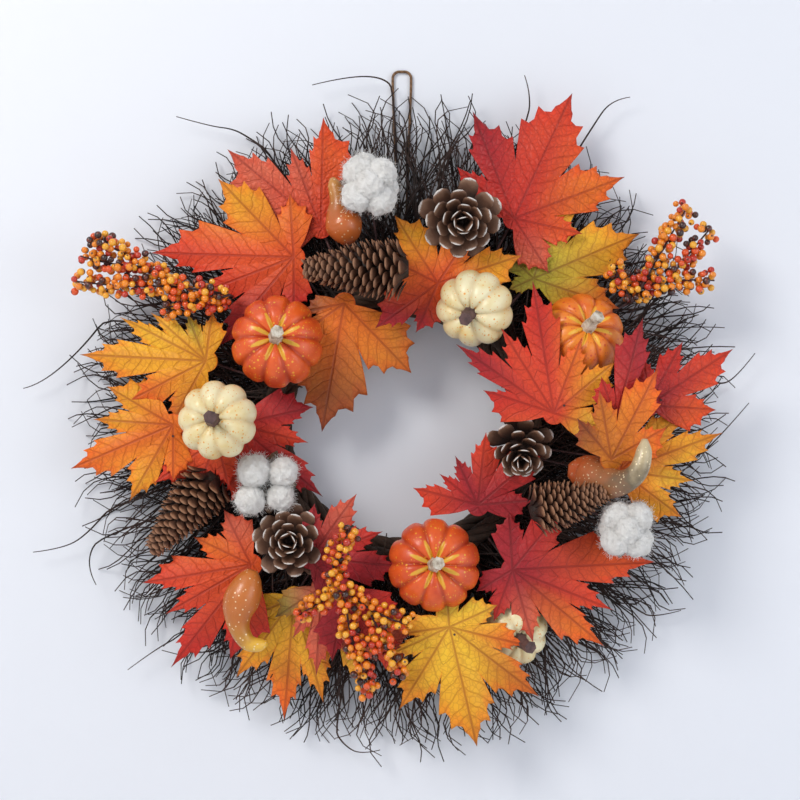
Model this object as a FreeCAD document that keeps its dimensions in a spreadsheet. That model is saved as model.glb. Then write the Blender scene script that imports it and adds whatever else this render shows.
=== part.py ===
import FreeCAD, Part
import math
import os

from FreeCAD import Placement, Rotation, Vector

# Harvest door wreath: a ring of vine and twigs on a wire frame, dressed with leaves, pumpkins, gourds,
# cones, cotton and berries on wire stems. Millimetres, +Z up, the front faces -Y. The origin is the inner
# top of the hanger loop, where the door's hook bears.

doc = FreeCAD.newDocument("harvest_door_wreath")

SIZES = (
    ("centre_drop", 294.0, "hook bearing point down to the middle of the ring"),
    ("door_gap", 1.5, "hook bearing point back to the door's face"),
    ("clearance", 0.8, "air between a leaf and what it lies round"),
    ("core_radius", 107.0, "middle of the ring to the middle of the core"),
    ("frame_wire_thickness", 3.0, "steel ring"),
    ("vine_thickness", 16.6, "one turn of vine"),
    ("vine_gap", 1.4, "air between the two rear turns"),
    ("vine_nest_gap", 0.47, "air between a rear turn and the front turn that lies in their groove"),
    ("tie_wire_thickness", 1.0, "binding wire"),
    ("tie_gap", 0.4, "binding wire to what it goes round"),
    ("tie_corner_radius", 9.0, "corner of a tie"),
    ("twig_reach", 149.0, "core's middle to the tip of the longest twig"),
    ("twig_root_thickness", 2.6, "twig where it leaves the vine"),
    ("twig_tip_thickness", 1.2, "twig at its tip"),
    ("twig_layer_step", 6.0, "twig layers to the middle of the rear turns"),
    ("stray_thickness", 1.8, "curled twig"),
    ("hanger_wire_thickness", 2.2, "covered wire of the hanger"),
    ("hanger_loop_width", 15.2, "loop, wire middle to wire middle"),
    ("hanger_loop_length", 12.0, "loop's top down to where the strands close in"),
    ("hanger_foot_width", 2.6, "strands at the eye"),
    ("hanger_wrap_thickness", 0.25, "thread wound round the strands above the eye"),
    ("eye_clearance", 0.5, "eye's bore to the steel ring"),
    ("eye_door_gap", 0.3, "eye to the door's face"),
    ("hanger_vine_gap", 0.35, "thread to the vine in front of it"),
    ("leaf_thickness", 2.4, "leaf with its cupping"),
    ("leaf_first_depth", 41.0, "door's face to the rearmost layer of leaves"),
    ("leaf_layer_step", 6.5, "one layer of leaves to the next"),
    ("leaf_heel", 9.0, "hub of a leaf to its heel"),
    ("pick_thickness", 1.8, "wire stem"),
    ("pick_root_spacing", 2.2, "degrees round the core from one stem's end to the next"),
    ("pick_bend", 4.0, "bend of a stem back from its corner"),
    ("pick_depth", 35.0, "door's face to where a stem turns in to the core"),
    ("pick_root_depth", 30.0, "door's face to a stem's end in the core"),
    ("pumpkin_1_width", 74.0, "orange, upper left"),
    ("pumpkin_2_width", 69.0, "orange, upper right"),
    ("pumpkin_3_width", 74.0, "orange, bottom"),
    ("pumpkin_4_width", 62.0, "cream, top"),
    ("pumpkin_5_width", 63.0, "cream, left"),
    ("pumpkin_6_width", 56.0, "cream, lower right"),
    ("pumpkin_squat", 0.75, "height of a pumpkin over its width"),
    ("pumpkin_stem_length", 17.0, "stem, out of the pumpkin"),
    ("pumpkin_stem_root", 8.0, "stem at the pumpkin"),
    ("pumpkin_stem_tip", 6.0, "stem at its cut end"),
    ("gourd_1_width", 30.0, "top left"),
    ("gourd_2_width", 34.0, "right"),
    ("gourd_3_width", 29.0, "lower left"),
    ("gourd_neck_root", 15.0, "neck at the bulb"),
    ("gourd_neck_tip", 6.0, "neck at its tip"),
    ("spruce_cone_1_length", 86.0, "top"),
    ("spruce_cone_2_length", 64.0, "right"),
    ("spruce_cone_3_length", 84.0, "left"),
    ("spruce_cone_1_width", 44.0, "top"),
    ("spruce_cone_2_width", 37.0, "right"),
    ("spruce_cone_3_width", 41.0, "left"),
    ("open_cone_1_width", 62.0, "top"),
    ("open_cone_2_width", 53.0, "right"),
    ("open_cone_3_width", 58.0, "lower left"),
    ("open_cone_height", 46.0, "foot to crown"),
    ("open_cone_crown", 26.0, "width at the crown"),
    ("cotton_1_width", 44.0, "top"),
    ("cotton_2_width", 42.0, "right"),
    ("cotton_lock_width", 22.0, "one lock of the loose boll"),
    ("cotton_length_ratio", 1.18, "boll's length over its width"),
    ("husk_width", 30.0, "husk at its mouth"),
    ("husk_root_width", 8.0, "husk at its stem"),
    ("husk_length", 14.0, "husk, stem to mouth"),
    ("berry_width", 5.2, "one berry"),
    ("berry_stem_thickness", 1.5, "stem of a spray"),
    ("berry_fork_thickness", 3.4, "knuckle where strands part"),
    ("berry_pitch", 4.6, "one berry to the next along a stem"),
)

sheet = doc.addObject("Spreadsheet::Sheet", "Sizes")
for row, (alias, value, meaning) in enumerate(SIZES, start=1):
    sheet.set("A%d" % row, meaning)
    sheet.set("B%d" % row, str(value))
    sheet.setAlias("B%d" % row, alias)
doc.recompute()

# ---- Places round the ring: x to the right and z up from the ring's middle, and depths out from the door, as
# built on a core with the radius and the front below. The dressing moves with the core when it changes.
PLACED_CORE_RADIUS = 107.0
PLACED_CORE_FRONT = 37.3

# name: (hub, foot of the stem from the hub, layer, lobes as (angle, length))
LEAVES = {
    "leaf_top_left_salmon": ((-65.6, 162.4), (0, 0), 0, ((140, 100), (111, 71), (89, 84), (191, 80))),
    "leaf_top_left_orange": ((-87.2, 137.6), (0, 0), 1,
                             ((178, 116), (134, 89), (230, 94), (94, 52), (201, 83))),
    "leaf_top_inner_amber": ((-46.4, 100.0), (0, 0), 2, ((260, 105), (314, 78), (215, 60), (191, 30))),
    "leaf_top_curled": ((28.8, 116.0), (-6, -4), 3, ((123, 60), (57, 43), (18, 66), (216, 58), (246, 35))),
    "leaf_top_right_red": ((90.4, 168.8), (0, 0), 1,
                           ((65, 114), (111, 93), (21, 97), (-12, 57), (-57, 52), (138, 59))),
    "leaf_top_right_yellow": ((106.4, 120.8), (0, 0), 0, ((23, 95), (-19, 74), (70, 75), (135, 24), (-156, 16))),
    "leaf_right_inner_red": ((120.0, 12.0), (8, 6), 6,
                             ((99, 106), (145, 95), (40, 63), (122, 80), (162, 59), (-17, 43))),
    "leaf_right_narrow_red": ((168.0, 6.4), (4, 14), 7, ((75, 84),)),
    "leaf_right_outer_red": ((194.4, 18.4), (10, 4), 6, ((33, 82), (61, 55), (-9, 53))),
    "leaf_right_amber": ((166.0, -17.0), (16, 32), 8, ((63, 72), (110, 40))),
    "leaf_right_gold": ((172.8, -33.6), (12, 6), 5, ((20, 88), (43, 72), (-8, 57), (-37, 59))),
    "leaf_lower_right_crimson": ((88.0, -112.8), (0, 0), 4,
                                 ((3, 114), (-40, 97), (-74, 61), (-22, 87), (50, 60), (93, 42), (-149, 31))),
    "leaf_right_inner_low": ((60.8, -61.6), (0, 0), 3, ((84, 59), (40, 62), (141, 33), (165, 51))),
    "leaf_bottom_gold": ((37.6, -157.6), (4, -6), 5,
                         ((-77, 99), (-38, 91), (-121, 77), (-14, 62), (188, 36), (24, 37))),
    "leaf_lower_left_orange": ((-121.6, -110.4), (0, 0), 1,
                               ((232, 107), (190, 91), (257, 80), (210, 81), (117, 48))),
    "leaf_lower_left_yellow": ((-87.2, -137.6), (0, 0), 0, ((265, 101), (234, 82), (285, 90), (204, 39))),
    "leaf_bottom_salmon": ((-64.0, -128.0), (0, -6), 2, ((266, 70), (213, 46), (315, 97))),
    "leaf_bottom_crimson": ((-45.6, -129.6), (0, 0), 4, ((260, 58), (303, 86))),
    "leaf_bottom_yellow": ((-53.6, -145.6), (0, -8), 1, ((290, 62),)),
    "leaf_inner_low_crimson": ((-50.0, -101.0), (7, 0), 3, ((-5, 30), (60, 50), (20, 40), (-60, 36))),
    "leaf_left_inner_red": ((-133.6, 2.4), (0, 0), 0, ((-40, 91), (13, 61), (-88, 60), (-19, 54))),
    "leaf_left_gold": ((-156.8, 53.6), (0, 0), 3,
                       ((177, 103), (139, 60), (207, 70), (153, 78), (83, 38), (241, 61))),
    "leaf_left_outer_gold": ((-184.0, 2.4), (0, -9), 2, ((203, 91), (150, 62), (176, 65), (240, 36))),
    "leaf_left_low_orange": ((-149.6, -9.6), (0, 4), 1, ((200, 46), (160, 30))),
}

# name: (place, depth of the back, direction of the stem's tilt, tilt)
PUMPKINS = {
    "pumpkin_1": ((-99.2, 68.8), 40.25, 90, 8),
    "pumpkin_2": ((144.8, 74.4), 24.125, 60, 22),
    "pumpkin_3": ((25.6, -108.8), 40.25, 90, 5),
    "pumpkin_4": ((58.0, 95.2), 46.75, 225, 25),
    "pumpkin_5": ((-144.8, 6.4), 62.375, 160, 8),
    "pumpkin_6": ((90.4, -165.6), 22.5, -45, 20),
}

# name: (middle of the bulb, depth, tip of the neck)
GOURDS = {
    "gourd_1": ((-45.6, 160.0), 61.0, (-55.2, 200.0)),
    "gourd_2": ((147.2, -33.6), 58.0, (187.0, -5.6)),
    "gourd_3": ((-124.0, -127.0), 68.0, (-112.0, -176.0)),
}

# name: (middle, depth, direction of the tip)
SPRUCE_CONES = {
    "spruce_cone_1": ((-35.2, 125.6), 87.0, 180),
    "spruce_cone_2": ((129.0, -58.0), 94.0, 15),
    "spruce_cone_3": ((-176.0, -68.0), 44.0, 230),
}

# name: (middle of the foot, depth of the foot)
OPEN_CONES = {
    "open_cone_1": ((47.2, 168.8), 51.0),
    "open_cone_2": ((94.4, -9.6), 44.0),
    "open_cone_3": ((-88.8, -92.0), 44.0),
}

# name: (middle, depth, locks as (x, z) from the middle); one lock at the middle is a closed boll
COTTON = {
    "cotton_boll_1": ((-26.0, 191.0), 84.0, ((0, 0),)),
    "cotton_boll_2": ((176.0, -79.0), 90.0, ((0, 0),)),
    "cotton_boll_3": ((-111.0, -43.0), 64.0, ((-11.6, -13.4), (11.6, -13.4), (-11.6, 13.4), (11.6, 13.4))),
}

# name: (depth, strands, each a list of places from the root outwards)
SPRAYS = {
    "left": (66.0, (
        ((-137.0, 106.0), (-178.0, 114.0), (-220.0, 112.0), (-260.0, 117.0)),
        ((-178.0, 114.0), (-206.0, 130.0), (-232.0, 130.0), (-256.0, 137.0)),
        ((-206.0, 130.0), (-226.0, 144.0), (-250.0, 150.0)),
        ((-137.0, 106.0), (-158.0, 100.0), (-190.0, 96.0)),
    )),
    "right": (60.0, (
        ((184.0, 101.0), (192.0, 112.8), (210.0, 146.0), (229.0, 178.0)),
        ((192.0, 112.8), (214.0, 120.0), (250.0, 118.0)),
        ((214.0, 120.0), (228.0, 138.0), (247.0, 160.0)),
        ((184.0, 101.0), (176.0, 118.0), (168.0, 130.0)),
    )),
    "bottom": (92.0, (
        ((-54.0, -108.0), (-45.6, -125.6), (-40.0, -168.0), (-24.0, -208.0)),
        ((-45.6, -125.6), (-62.0, -134.0), (-82.0, -147.0)),
        ((-45.6, -125.6), (-24.0, -146.0), (6.0, -154.0)),
        ((-40.0, -168.0), (-22.0, -172.0), (-8.0, -168.0)),
        ((-24.0, -146.0), (-12.0, -172.0), (0.0, -194.0)),
        ((-54.0, -108.0), (-48.0, -92.0), (-40.0, -78.0)),
    )),
}

# Curled twigs: (direction of the root, places outwards)
STRAYS = (
    (115, ((-102, 222), (-128, 240), (-140, 246), (-158, 248), (-186, 256))),
    (91, ((-4, 276), (-16, 289), (-46, 289), (-74, 282))),
    (157, ((-235, 102), (-264, 64), (-298, 35), (-312, 32))),
    (194, ((-234, -58), (-258, -87), (-278, -100), (-304, -103))),
    (204, ((-246, -84), (-262, -112), (-252, -130))),
    (67, ((104, 250), (106, 276), (101, 290))),
    (57, ((158, 250), (173, 270), (188, 272))),
    (20, ((202, 74), (230, 84), (266, 82))),
    (9, ((250, 42), (264, 34), (278, 44), (291, 61))),
    (-7, ((238, -30), (262, -8), (286, 20))),
    (257, ((-58, -246), (-48, -262), (-34, -270), (-18, -266))),
    (223, ((-178, -170), (-202, -182), (-226, -200))),
    (176, ((-226, 22), (-252, 10), (-272, 0))),
    (-38, ((194, -154), (212, -156), (230, -151))),
)

TWIG_BUNDLES = 6
TWIGS_PER_BUNDLE = 22
TWIG_SKEW = 22.0
TIE_SLOTS = (4, 8, 12, 16, 22, 25, 29, 34, 39, 43, 48, 53, 58, 63)   # gaps between twigs, counted from +X
CIRCLE = 360.0


def size(alias):
    return float(sheet.get(alias))


def bind(target, **expressions):
    """Tie properties of an object to the sheet."""
    for name, expression in expressions.items():
        target.setExpression(name, expression)


def part_object(kind, label, placement=None, **expressions):
    """A document object with its sizes tied to the sheet and its place set."""
    made = doc.addObject(kind, label)
    made.Label = label
    bind(made, **expressions)
    if placement is not None:
        made.Placement = placement
    return made


def at_depth(depth):
    """y of a depth in front of the door's face."""
    return size("door_gap") - depth


def ring_point(place, depth):
    """A place on the wreath: it moves out with the core's radius."""
    x, z = place
    radius = math.hypot(x, z)
    stretched = radius + size("core_radius") - PLACED_CORE_RADIUS
    share = stretched / radius
    return Vector(x * share, at_depth(depth), z * share - size("centre_drop"))


def polar_point(angle, radius, depth):
    """A point at an angle round the ring, from +X towards +Z."""
    turn = math.radians(angle)
    return Vector(radius * math.cos(turn), at_depth(depth), radius * math.sin(turn) - size("centre_drop"))


def aim(direction):
    """Turns +Z to a direction."""
    return Rotation(Vector(0, 0, 1), direction)


def in_plane(angle):
    """The direction at an angle in the wreath's plane."""
    turn = math.radians(angle)
    return Vector(math.cos(turn), 0, math.sin(turn))


def rounded_path(points, largest_setback=math.inf):
    """Straight runs joined by tangent arcs, each as large as its two runs or the setback allow."""
    edges = []
    start = points[0]
    for before, corner, after in zip(points, points[1:], points[2:]):
        back = (before - corner).normalize()
        ahead = (after - corner).normalize()
        turn = math.pi - back.getAngle(ahead)
        setback = min(0.45 * min((before - corner).Length, (after - corner).Length), largest_setback)
        radius = setback / math.tan(turn / 2)
        middle = (back + ahead).normalize()
        centre = corner + middle * (radius / math.cos(turn / 2))
        arc_start = corner + back * setback
        arc_end = corner + ahead * setback
        arc_top = centre - middle * radius
        edges.append(Part.LineSegment(start, arc_start).toShape())
        edges.append(Part.Arc(arc_start, arc_top, arc_end).toShape())
        start = arc_end
    edges.append(Part.LineSegment(start, points[-1]).toShape())
    return Part.Wire(edges)


def tube(points, thickness, largest_setback=math.inf):
    """A round wire or twig along a rounded path."""
    path = rounded_path(points, largest_setback)
    along = (points[1] - points[0]).normalize()
    ring = Part.Wire([Part.makeCircle(thickness / 2, points[0], along)])
    return path.makePipeShell([ring], True, False)


def plain_feature(label, shape):
    made = doc.addObject("Part::Feature", label)
    made.Label = label
    made.Shape = shape
    return made


parts = []

# ---- Steel ring and the three turns of vine tied to it.
FACE_FRONT = Rotation(Vector(1, 0, 0), 90)
ring_middle = Vector(0, 0, -size("centre_drop"))

frame_depth = (size("eye_door_gap") + size("hanger_wire_thickness") + size("eye_clearance")
               + size("frame_wire_thickness") / 2)
wire_frame = part_object(
    "Part::Torus", "wire_frame",
    Placement(ring_middle + Vector(0, at_depth(frame_depth), 0), FACE_FRONT),
    Radius1="Sizes.core_radius", Radius2="Sizes.frame_wire_thickness / 2")
parts.append(wire_frame)

half_spacing = (size("vine_thickness") + size("vine_gap")) / 2
rear_depth = (frame_depth + size("hanger_wire_thickness") / 2 + size("hanger_wrap_thickness")
              + size("hanger_vine_gap") + size("vine_thickness") / 2)
front_depth = rear_depth + math.sqrt((size("vine_thickness") + size("vine_nest_gap")) ** 2 - half_spacing ** 2)
core_lift = front_depth + size("vine_thickness") / 2 - PLACED_CORE_FRONT
COILS = (
    ("vine_coil_1", "Sizes.core_radius - (Sizes.vine_thickness + Sizes.vine_gap) / 2", rear_depth),
    ("vine_coil_2", "Sizes.core_radius + (Sizes.vine_thickness + Sizes.vine_gap) / 2", rear_depth),
    ("vine_coil_3", "Sizes.core_radius", front_depth),
)
for label, radius_expression, depth in COILS:
    parts.append(part_object(
        "Part::Torus", label, Placement(ring_middle + Vector(0, at_depth(depth), 0), FACE_FRONT),
        Radius1=radius_expression, Radius2="Sizes.vine_thickness / 2"))

# ---- Binding wire: closed ties with rounded corners round the steel ring and the vine.


def tie(angle):
    gap = size("tie_gap") + size("tie_wire_thickness") / 2
    half_width = half_spacing + size("vine_thickness") / 2 + gap
    inner = size("core_radius") - half_width
    outer = size("core_radius") + half_width
    back = frame_depth - size("frame_wire_thickness") / 2 - gap
    front = front_depth + size("vine_thickness") / 2 + gap
    corner = size("tie_corner_radius")
    nook = corner * (1 - math.sqrt(0.5))
    edges = []
    runs = (
        ((inner, back + corner), (inner, front - corner), (inner + nook, front - nook), (inner + corner, front)),
        ((inner + corner, front), (outer - corner, front), (outer - nook, front - nook), (outer, front - corner)),
        ((outer, front - corner), (outer, back + corner), (outer - nook, back + nook), (outer - corner, back)),
        ((outer - corner, back), (inner + corner, back), (inner + nook, back + nook), (inner, back + corner)),
    )
    for run in runs:
        start, end, middle, arc_end = (polar_point(angle, radius, depth) for radius, depth in run)
        edges.append(Part.LineSegment(start, end).toShape())
        edges.append(Part.Arc(end, middle, arc_end).toShape())
    path = Part.Wire(edges)
    start = polar_point(angle, inner, back + corner)
    ring = Part.Wire([Part.makeCircle(size("tie_wire_thickness") / 2, start, Vector(0, -1, 0))])
    return path.makePipeShell([ring], True, False)


tie_pitch = 2 * CIRCLE / (TWIG_BUNDLES * TWIGS_PER_BUNDLE)
parts.append(plain_feature("binding_wire", Part.makeCompound([tie(slot * tie_pitch) for slot in TIE_SLOTS])))

# ---- Hanger: a loop of covered wire, its two strands closed on an eye round the steel ring and bound with
# thread above it.


def hanger_shape():
    wire = size("hanger_wire_thickness")
    bore = size("frame_wire_thickness") / 2 + size("eye_clearance")
    eye_radius = bore + wire / 2
    hinge = polar_point(90, size("core_radius"), frame_depth)
    foot = hinge.z + eye_radius
    half_loop = size("hanger_loop_width") / 2
    half_foot = size("hanger_foot_width") / 2
    crown = wire / 2
    throat = crown - size("hanger_loop_length")
    route = [
        Vector(-half_foot, hinge.y, foot), Vector(-half_loop, 0, throat), Vector(-half_loop, 0, crown),
        Vector(half_loop, 0, crown), Vector(half_loop, 0, throat), Vector(half_foot, hinge.y, foot),
    ]
    eye = Part.makeTorus(eye_radius, wire / 2, hinge, Vector(1, 0, 0))
    thread = size("hanger_wrap_thickness")
    oval = Part.Ellipse(Vector(0, hinge.y, foot + wire / 2), half_foot + wire / 2 + thread, wire / 2 + thread)
    wrap = Part.Face(Part.Wire([oval.toShape()])).extrude(Vector(0, 0, 2 * wire))
    return tube(route, wire).fuse([eye, wrap]).removeSplitter()


parts.append(plain_feature("hanger_loop", hanger_shape()))

# ---- Twigs: two layers that swirl opposite ways, their roots held in the outer turn of vine.


def twig_line(index):
    """Root and tip of one twig, numbered round the whole ring."""
    count = TWIG_BUNDLES * TWIGS_PER_BUNDLE
    angle = CIRCLE * (index + 0.5) / count
    rear = index % 2 == 0
    depth = rear_depth + (-size("twig_layer_step") if rear else size("twig_layer_step"))
    sway = 4.0 * math.sin(index * 2.4)
    skew = (TWIG_SKEW if rear else -TWIG_SKEW) + sway
    root_radius = size("core_radius") + half_spacing
    tip_radius = size("core_radius") + size("twig_reach") * (0.84 + 0.16 * math.cos(index * 1.7))
    root = polar_point(angle, root_radius, depth)
    lean = math.radians(skew)
    reach = math.sqrt(tip_radius ** 2 - (root_radius * math.sin(lean)) ** 2) - root_radius * math.cos(lean)
    return root, root + in_plane(angle + skew) * reach


for bundle in range(TWIG_BUNDLES):
    twigs = []
    for index in range(bundle * TWIGS_PER_BUNDLE, (bundle + 1) * TWIGS_PER_BUNDLE):
        root, tip = twig_line(index)
        twigs.append(part_object(
            "Part::Cone", "twig_%d" % (index + 1), Placement(root, aim(tip - root)),
            Radius1="Sizes.twig_root_thickness / 2", Radius2="Sizes.twig_tip_thickness / 2"))
        twigs[-1].Height = (tip - root).Length
    made = doc.addObject("Part::Compound", "twig_bundle_%d" % (bundle + 1))
    made.Label = made.Name
    made.Links = twigs
    parts.append(made)


def stray(root_angle, places):
    root_radius = size("core_radius") + half_spacing
    points = [polar_point(root_angle, root_radius, rear_depth)]
    points += [ring_point(place, rear_depth) for place in places]
    return tube(points, size("stray_thickness"))


parts.append(plain_feature("stray_twigs", Part.makeCompound([stray(*one) for one in STRAYS])))

# ---- Decorations. Each piece's footprint is the round or long place that leaves are cut back from.


def dressing_point(place, depth):
    """A place on the dressing: it moves out with the core's radius and forward with its front."""
    return ring_point(place, depth + core_lift)


footprints = []   # (middle, length, width, direction of the length, rear depth, front depth)
stems = []        # (piece, start of the wire stem)
blocks = {}


def ellipsoid(label, middle, direction, along, across):
    """A round solid whose first half-axis lies along a direction."""
    made = part_object("Part::Ellipsoid", label, Placement(middle, aim(direction)),
                       Radius1=along, Radius2=across, Radius3=across)
    return made


def tilted(direction, tilt):
    """The front's direction, tilted by an angle towards a direction in the wreath's plane."""
    lean = math.radians(tilt)
    return Vector(0, -1, 0) * math.cos(lean) + in_plane(direction) * math.sin(lean)


pumpkin_stems = []
for label, (place, back_depth, direction, tilt) in PUMPKINS.items():
    width = size(label + "_width")
    half_height = width * size("pumpkin_squat") / 2
    depth = back_depth + half_height
    middle = dressing_point(place, depth)
    facing = tilted(direction, tilt)
    parts.append(ellipsoid(label, middle, facing, "Sizes.%s_width * Sizes.pumpkin_squat / 2" % label,
                           "Sizes.%s_width / 2" % label))
    footprints.append((label, place, width, width, 0, depth - half_height, depth + half_height))
    stems.append((label, place, depth))
    sunk = 3.0
    stem = part_object(
        "Part::Cone", "stem_of_" + label, Placement(middle + facing * (half_height - sunk), aim(facing)),
        Radius1="Sizes.pumpkin_stem_root / 2", Radius2="Sizes.pumpkin_stem_tip / 2",
        Height="Sizes.pumpkin_stem_length + %s" % sunk)
    pumpkin_stems.append(stem)
    lean = math.sin(math.radians(tilt))
    shift = in_plane(direction) * (lean * (half_height + size("pumpkin_stem_length") / 2))
    stem_place = (place[0] + shift.x, place[1] + shift.z)
    stem_span = size("pumpkin_stem_root") + lean * size("pumpkin_stem_length")
    footprints.append(("pumpkin_stems", stem_place, stem_span + 0.1, size("pumpkin_stem_root"), direction,
                       depth + half_height - size("pumpkin_stem_length") / 2,
                       depth + half_height + size("pumpkin_stem_length")))
made = doc.addObject("Part::Compound", "pumpkin_stems")
made.Links = pumpkin_stems
parts.append(made)

for label, (place, depth, tip_place) in GOURDS.items():
    middle = dressing_point(place, depth)
    tip = dressing_point(tip_place, depth)
    bulb = part_object("Part::Sphere", label + "_bulb", Placement(middle, aim(tip - middle)),
                       Radius="Sizes.%s_width / 2" % label)
    neck = part_object("Part::Cone", label + "_neck", Placement(middle, aim(tip - middle)),
                       Radius1="Sizes.gourd_neck_root / 2", Radius2="Sizes.gourd_neck_tip / 2")
    neck.Height = (tip - middle).Length
    made = doc.addObject("Part::Fuse", label)
    made.Base = bulb
    made.Tool = neck
    parts.append(made)
    half_width = size(label + "_width") / 2
    span = Vector(tip_place[0] - place[0], 0, tip_place[1] - place[1])
    direction = math.degrees(math.atan2(span.z, span.x))
    footprints.append((label, place, 2 * half_width, 2 * half_width, 0, depth - half_width, depth + half_width))
    between = ((place[0] + tip_place[0]) / 2, (place[1] + tip_place[1]) / 2)
    footprints.append((label, between, span.Length + size("gourd_neck_tip"), size("gourd_neck_root"), direction,
                       depth - half_width, depth + half_width))
    stems.append((label, place, depth))

for label, (place, depth, direction) in SPRUCE_CONES.items():
    middle = dressing_point(place, depth)
    parts.append(ellipsoid(label, middle, in_plane(direction), "Sizes.%s_length / 2" % label,
                           "Sizes.%s_width / 2" % label))
    half_width = size(label + "_width") / 2
    footprints.append((label, place, size(label + "_length"), size(label + "_width"), direction,
                       depth - half_width, depth + half_width))
    stems.append((label, place, depth))

for label, (place, depth) in OPEN_CONES.items():
    parts.append(part_object(
        "Part::Cone", label, Placement(dressing_point(place, depth), aim(Vector(0, -1, 0))),
        Radius1="Sizes.%s_width / 2" % label, Radius2="Sizes.open_cone_crown / 2",
        Height="Sizes.open_cone_height"))
    width = size(label + "_width")
    footprints.append((label, place, width, width, 0, depth, depth + size("open_cone_height")))
    stems.append((label, place, depth + size("open_cone_height") / 4))

husks = []
for label, (place, depth, locks) in COTTON.items():
    width_name = "cotton_lock_width" if len(locks) > 1 else label.replace("boll_", "") + "_width"
    width = size(width_name)
    made_locks = []
    for number, (x, z) in enumerate(locks, start=1):
        middle = dressing_point(place, depth) + Vector(x, 0, z)
        made_locks.append(ellipsoid("%s_lock_%d" % (label, number), middle, Vector(0, 0, 1),
                                    "Sizes.%s * Sizes.cotton_length_ratio / 2" % width_name,
                                    "Sizes.%s / 2" % width_name))
        lock_place = (place[0] + x, place[1] + z)
        footprints.append((label, lock_place, width * size("cotton_length_ratio"), width, 90,
                           depth - width / 2, depth + width / 2))
    if len(locks) > 1:
        made = doc.addObject("Part::Compound", label)
        made.Links = made_locks
    else:
        made = made_locks[0]
    made.Label = label
    parts.append(made)
    seat = width * (0.28 if len(locks) > 1 else 0.42)
    husk_middle = dressing_point(place, depth - seat)
    husks.append(part_object(
        "Part::Cone", "husk_of_" + label, Placement(husk_middle, aim(Vector(0, 1, 0))),
        Radius1="Sizes.husk_width / 2", Radius2="Sizes.husk_root_width / 2", Height="Sizes.husk_length"))
    footprints.append((label, place, size("husk_width"), size("husk_width"), 0,
                       depth - seat - size("husk_length"), depth - seat))
    stems.append((label, place, depth - seat - size("husk_length") / 2))
made = doc.addObject("Part::Compound", "cotton_husks")
made.Links = husks
parts.append(made)

# ---- Berry sprays: thin stems that fork, with berries on alternate sides.


def add_berries(points, placed):
    """Adds berries on alternate sides of a strand, none closer than its neighbours allow."""
    offset = size("berry_width") / 2 + size("berry_stem_thickness") * 0.2
    side = 1
    reached = size("berry_pitch")
    for start, end in zip(points, points[1:]):
        run = end - start
        along = run / run.Length
        across = Vector(along.z, 0, -along.x)
        while reached < run.Length:
            spot = start + along * reached + across * (offset * side)
            if all((spot - other).Length > size("berry_width") * 1.08 for other in placed):
                placed.append(spot)
            side = -side
            reached += size("berry_pitch")
        reached -= run.Length


spray_stems = []
berry_spots = []
for label, (depth, strands) in SPRAYS.items():
    tubes = []
    for strand in strands:
        points = [dressing_point(place, depth) for place in strand]
        tubes.append(tube(points, size("berry_stem_thickness")))
        tubes.append(Part.makeSphere(size("berry_fork_thickness") / 2, points[0]))
        add_berries(points, berry_spots)
    spray_stems.append(tubes[0].fuse(tubes[1:]))
    stems.append((label, strands[0][0], depth))
parts.append(plain_feature("berry_stems", Part.makeCompound(spray_stems)))

berries = []
for number, spot in enumerate(berry_spots, start=1):
    berries.append(part_object("Part::Sphere", "berry_%d" % number, Placement(spot, Rotation()),
                               Radius="Sizes.berry_width / 2"))
made = doc.addObject("Part::Compound", "berries")
made.Links = berries
parts.append(made)

# ---- Leaves: flat lobed plates in layers, cut back from what they lie round and bored for other stems.
VALLEY_FULL_GAP = 60.0
LOBE_SHOULDER = 0.56
WIDEST_SHOULDER = 17.0


def leaf_outline(lobes):
    """Points of a lobed leaf round its hub: a valley, two shoulders and a tip for each lobe."""
    lobes = sorted((angle % CIRCLE, length) for angle, length in lobes)
    heel = size("leaf_heel")
    polar = []
    for index, (angle, length) in enumerate(lobes):
        next_angle, next_length = lobes[(index + 1) % len(lobes)]
        gap_before = (angle - lobes[index - 1][0]) % CIRCLE or CIRCLE
        gap = (next_angle - angle) % CIRCLE or CIRCLE
        polar.append((angle - min(WIDEST_SHOULDER, 0.4 * gap_before), length * LOBE_SHOULDER))
        polar.append((angle, length))
        polar.append((angle + min(WIDEST_SHOULDER, 0.4 * gap), length * LOBE_SHOULDER))
        if gap < 100:
            depth_share = 0.68 - 0.36 * min(1.0, gap / VALLEY_FULL_GAP)
            polar.append((angle + gap / 2, max(heel, depth_share * min(length, next_length))))
        else:
            steps = int(gap // 50)
            polar += [(angle + gap * step / (steps + 1), heel) for step in range(1, steps + 1)]
    return [(radius * math.cos(math.radians(angle)), radius * math.sin(math.radians(angle)))
            for angle, radius in polar]


def origin_plane(body, role):
    for feature in body.Origin.OriginFeatures:
        if feature.Role == role:
            return feature
    raise RuntimeError("no plane " + role)


def leaf_body(label, hub, layer, outline):
    """A leaf's blank: the outline padded by the leaf's thickness about its layer's depth."""
    body = doc.addObject("PartDesign::Body", label)
    sketch = body.newObject("Sketcher::SketchObject", label + "_outline")
    sketch.AttachmentSupport = [(origin_plane(body, "XZ_Plane"), "")]
    sketch.MapMode = "FlatFace"
    corners = [Vector(x, z, 0) for x, z in outline]
    for start, end in zip(corners, corners[1:] + corners[:1]):
        sketch.addGeometry(Part.LineSegment(start, end))
    pad = body.newObject("PartDesign::Pad", label + "_pad")
    pad.Profile = sketch
    bind(pad, Length="Sizes.leaf_thickness")
    sketch.Visibility = False
    middle = dressing_point(hub, 0)
    body.Placement = Placement(middle, Rotation())
    body.setExpression(
        "Placement.Base.y",
        "Sizes.door_gap - Sizes.leaf_first_depth - %d * Sizes.leaf_layer_step + Sizes.leaf_thickness / 2 - %.4f"
        % (layer, core_lift))
    return body


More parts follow.
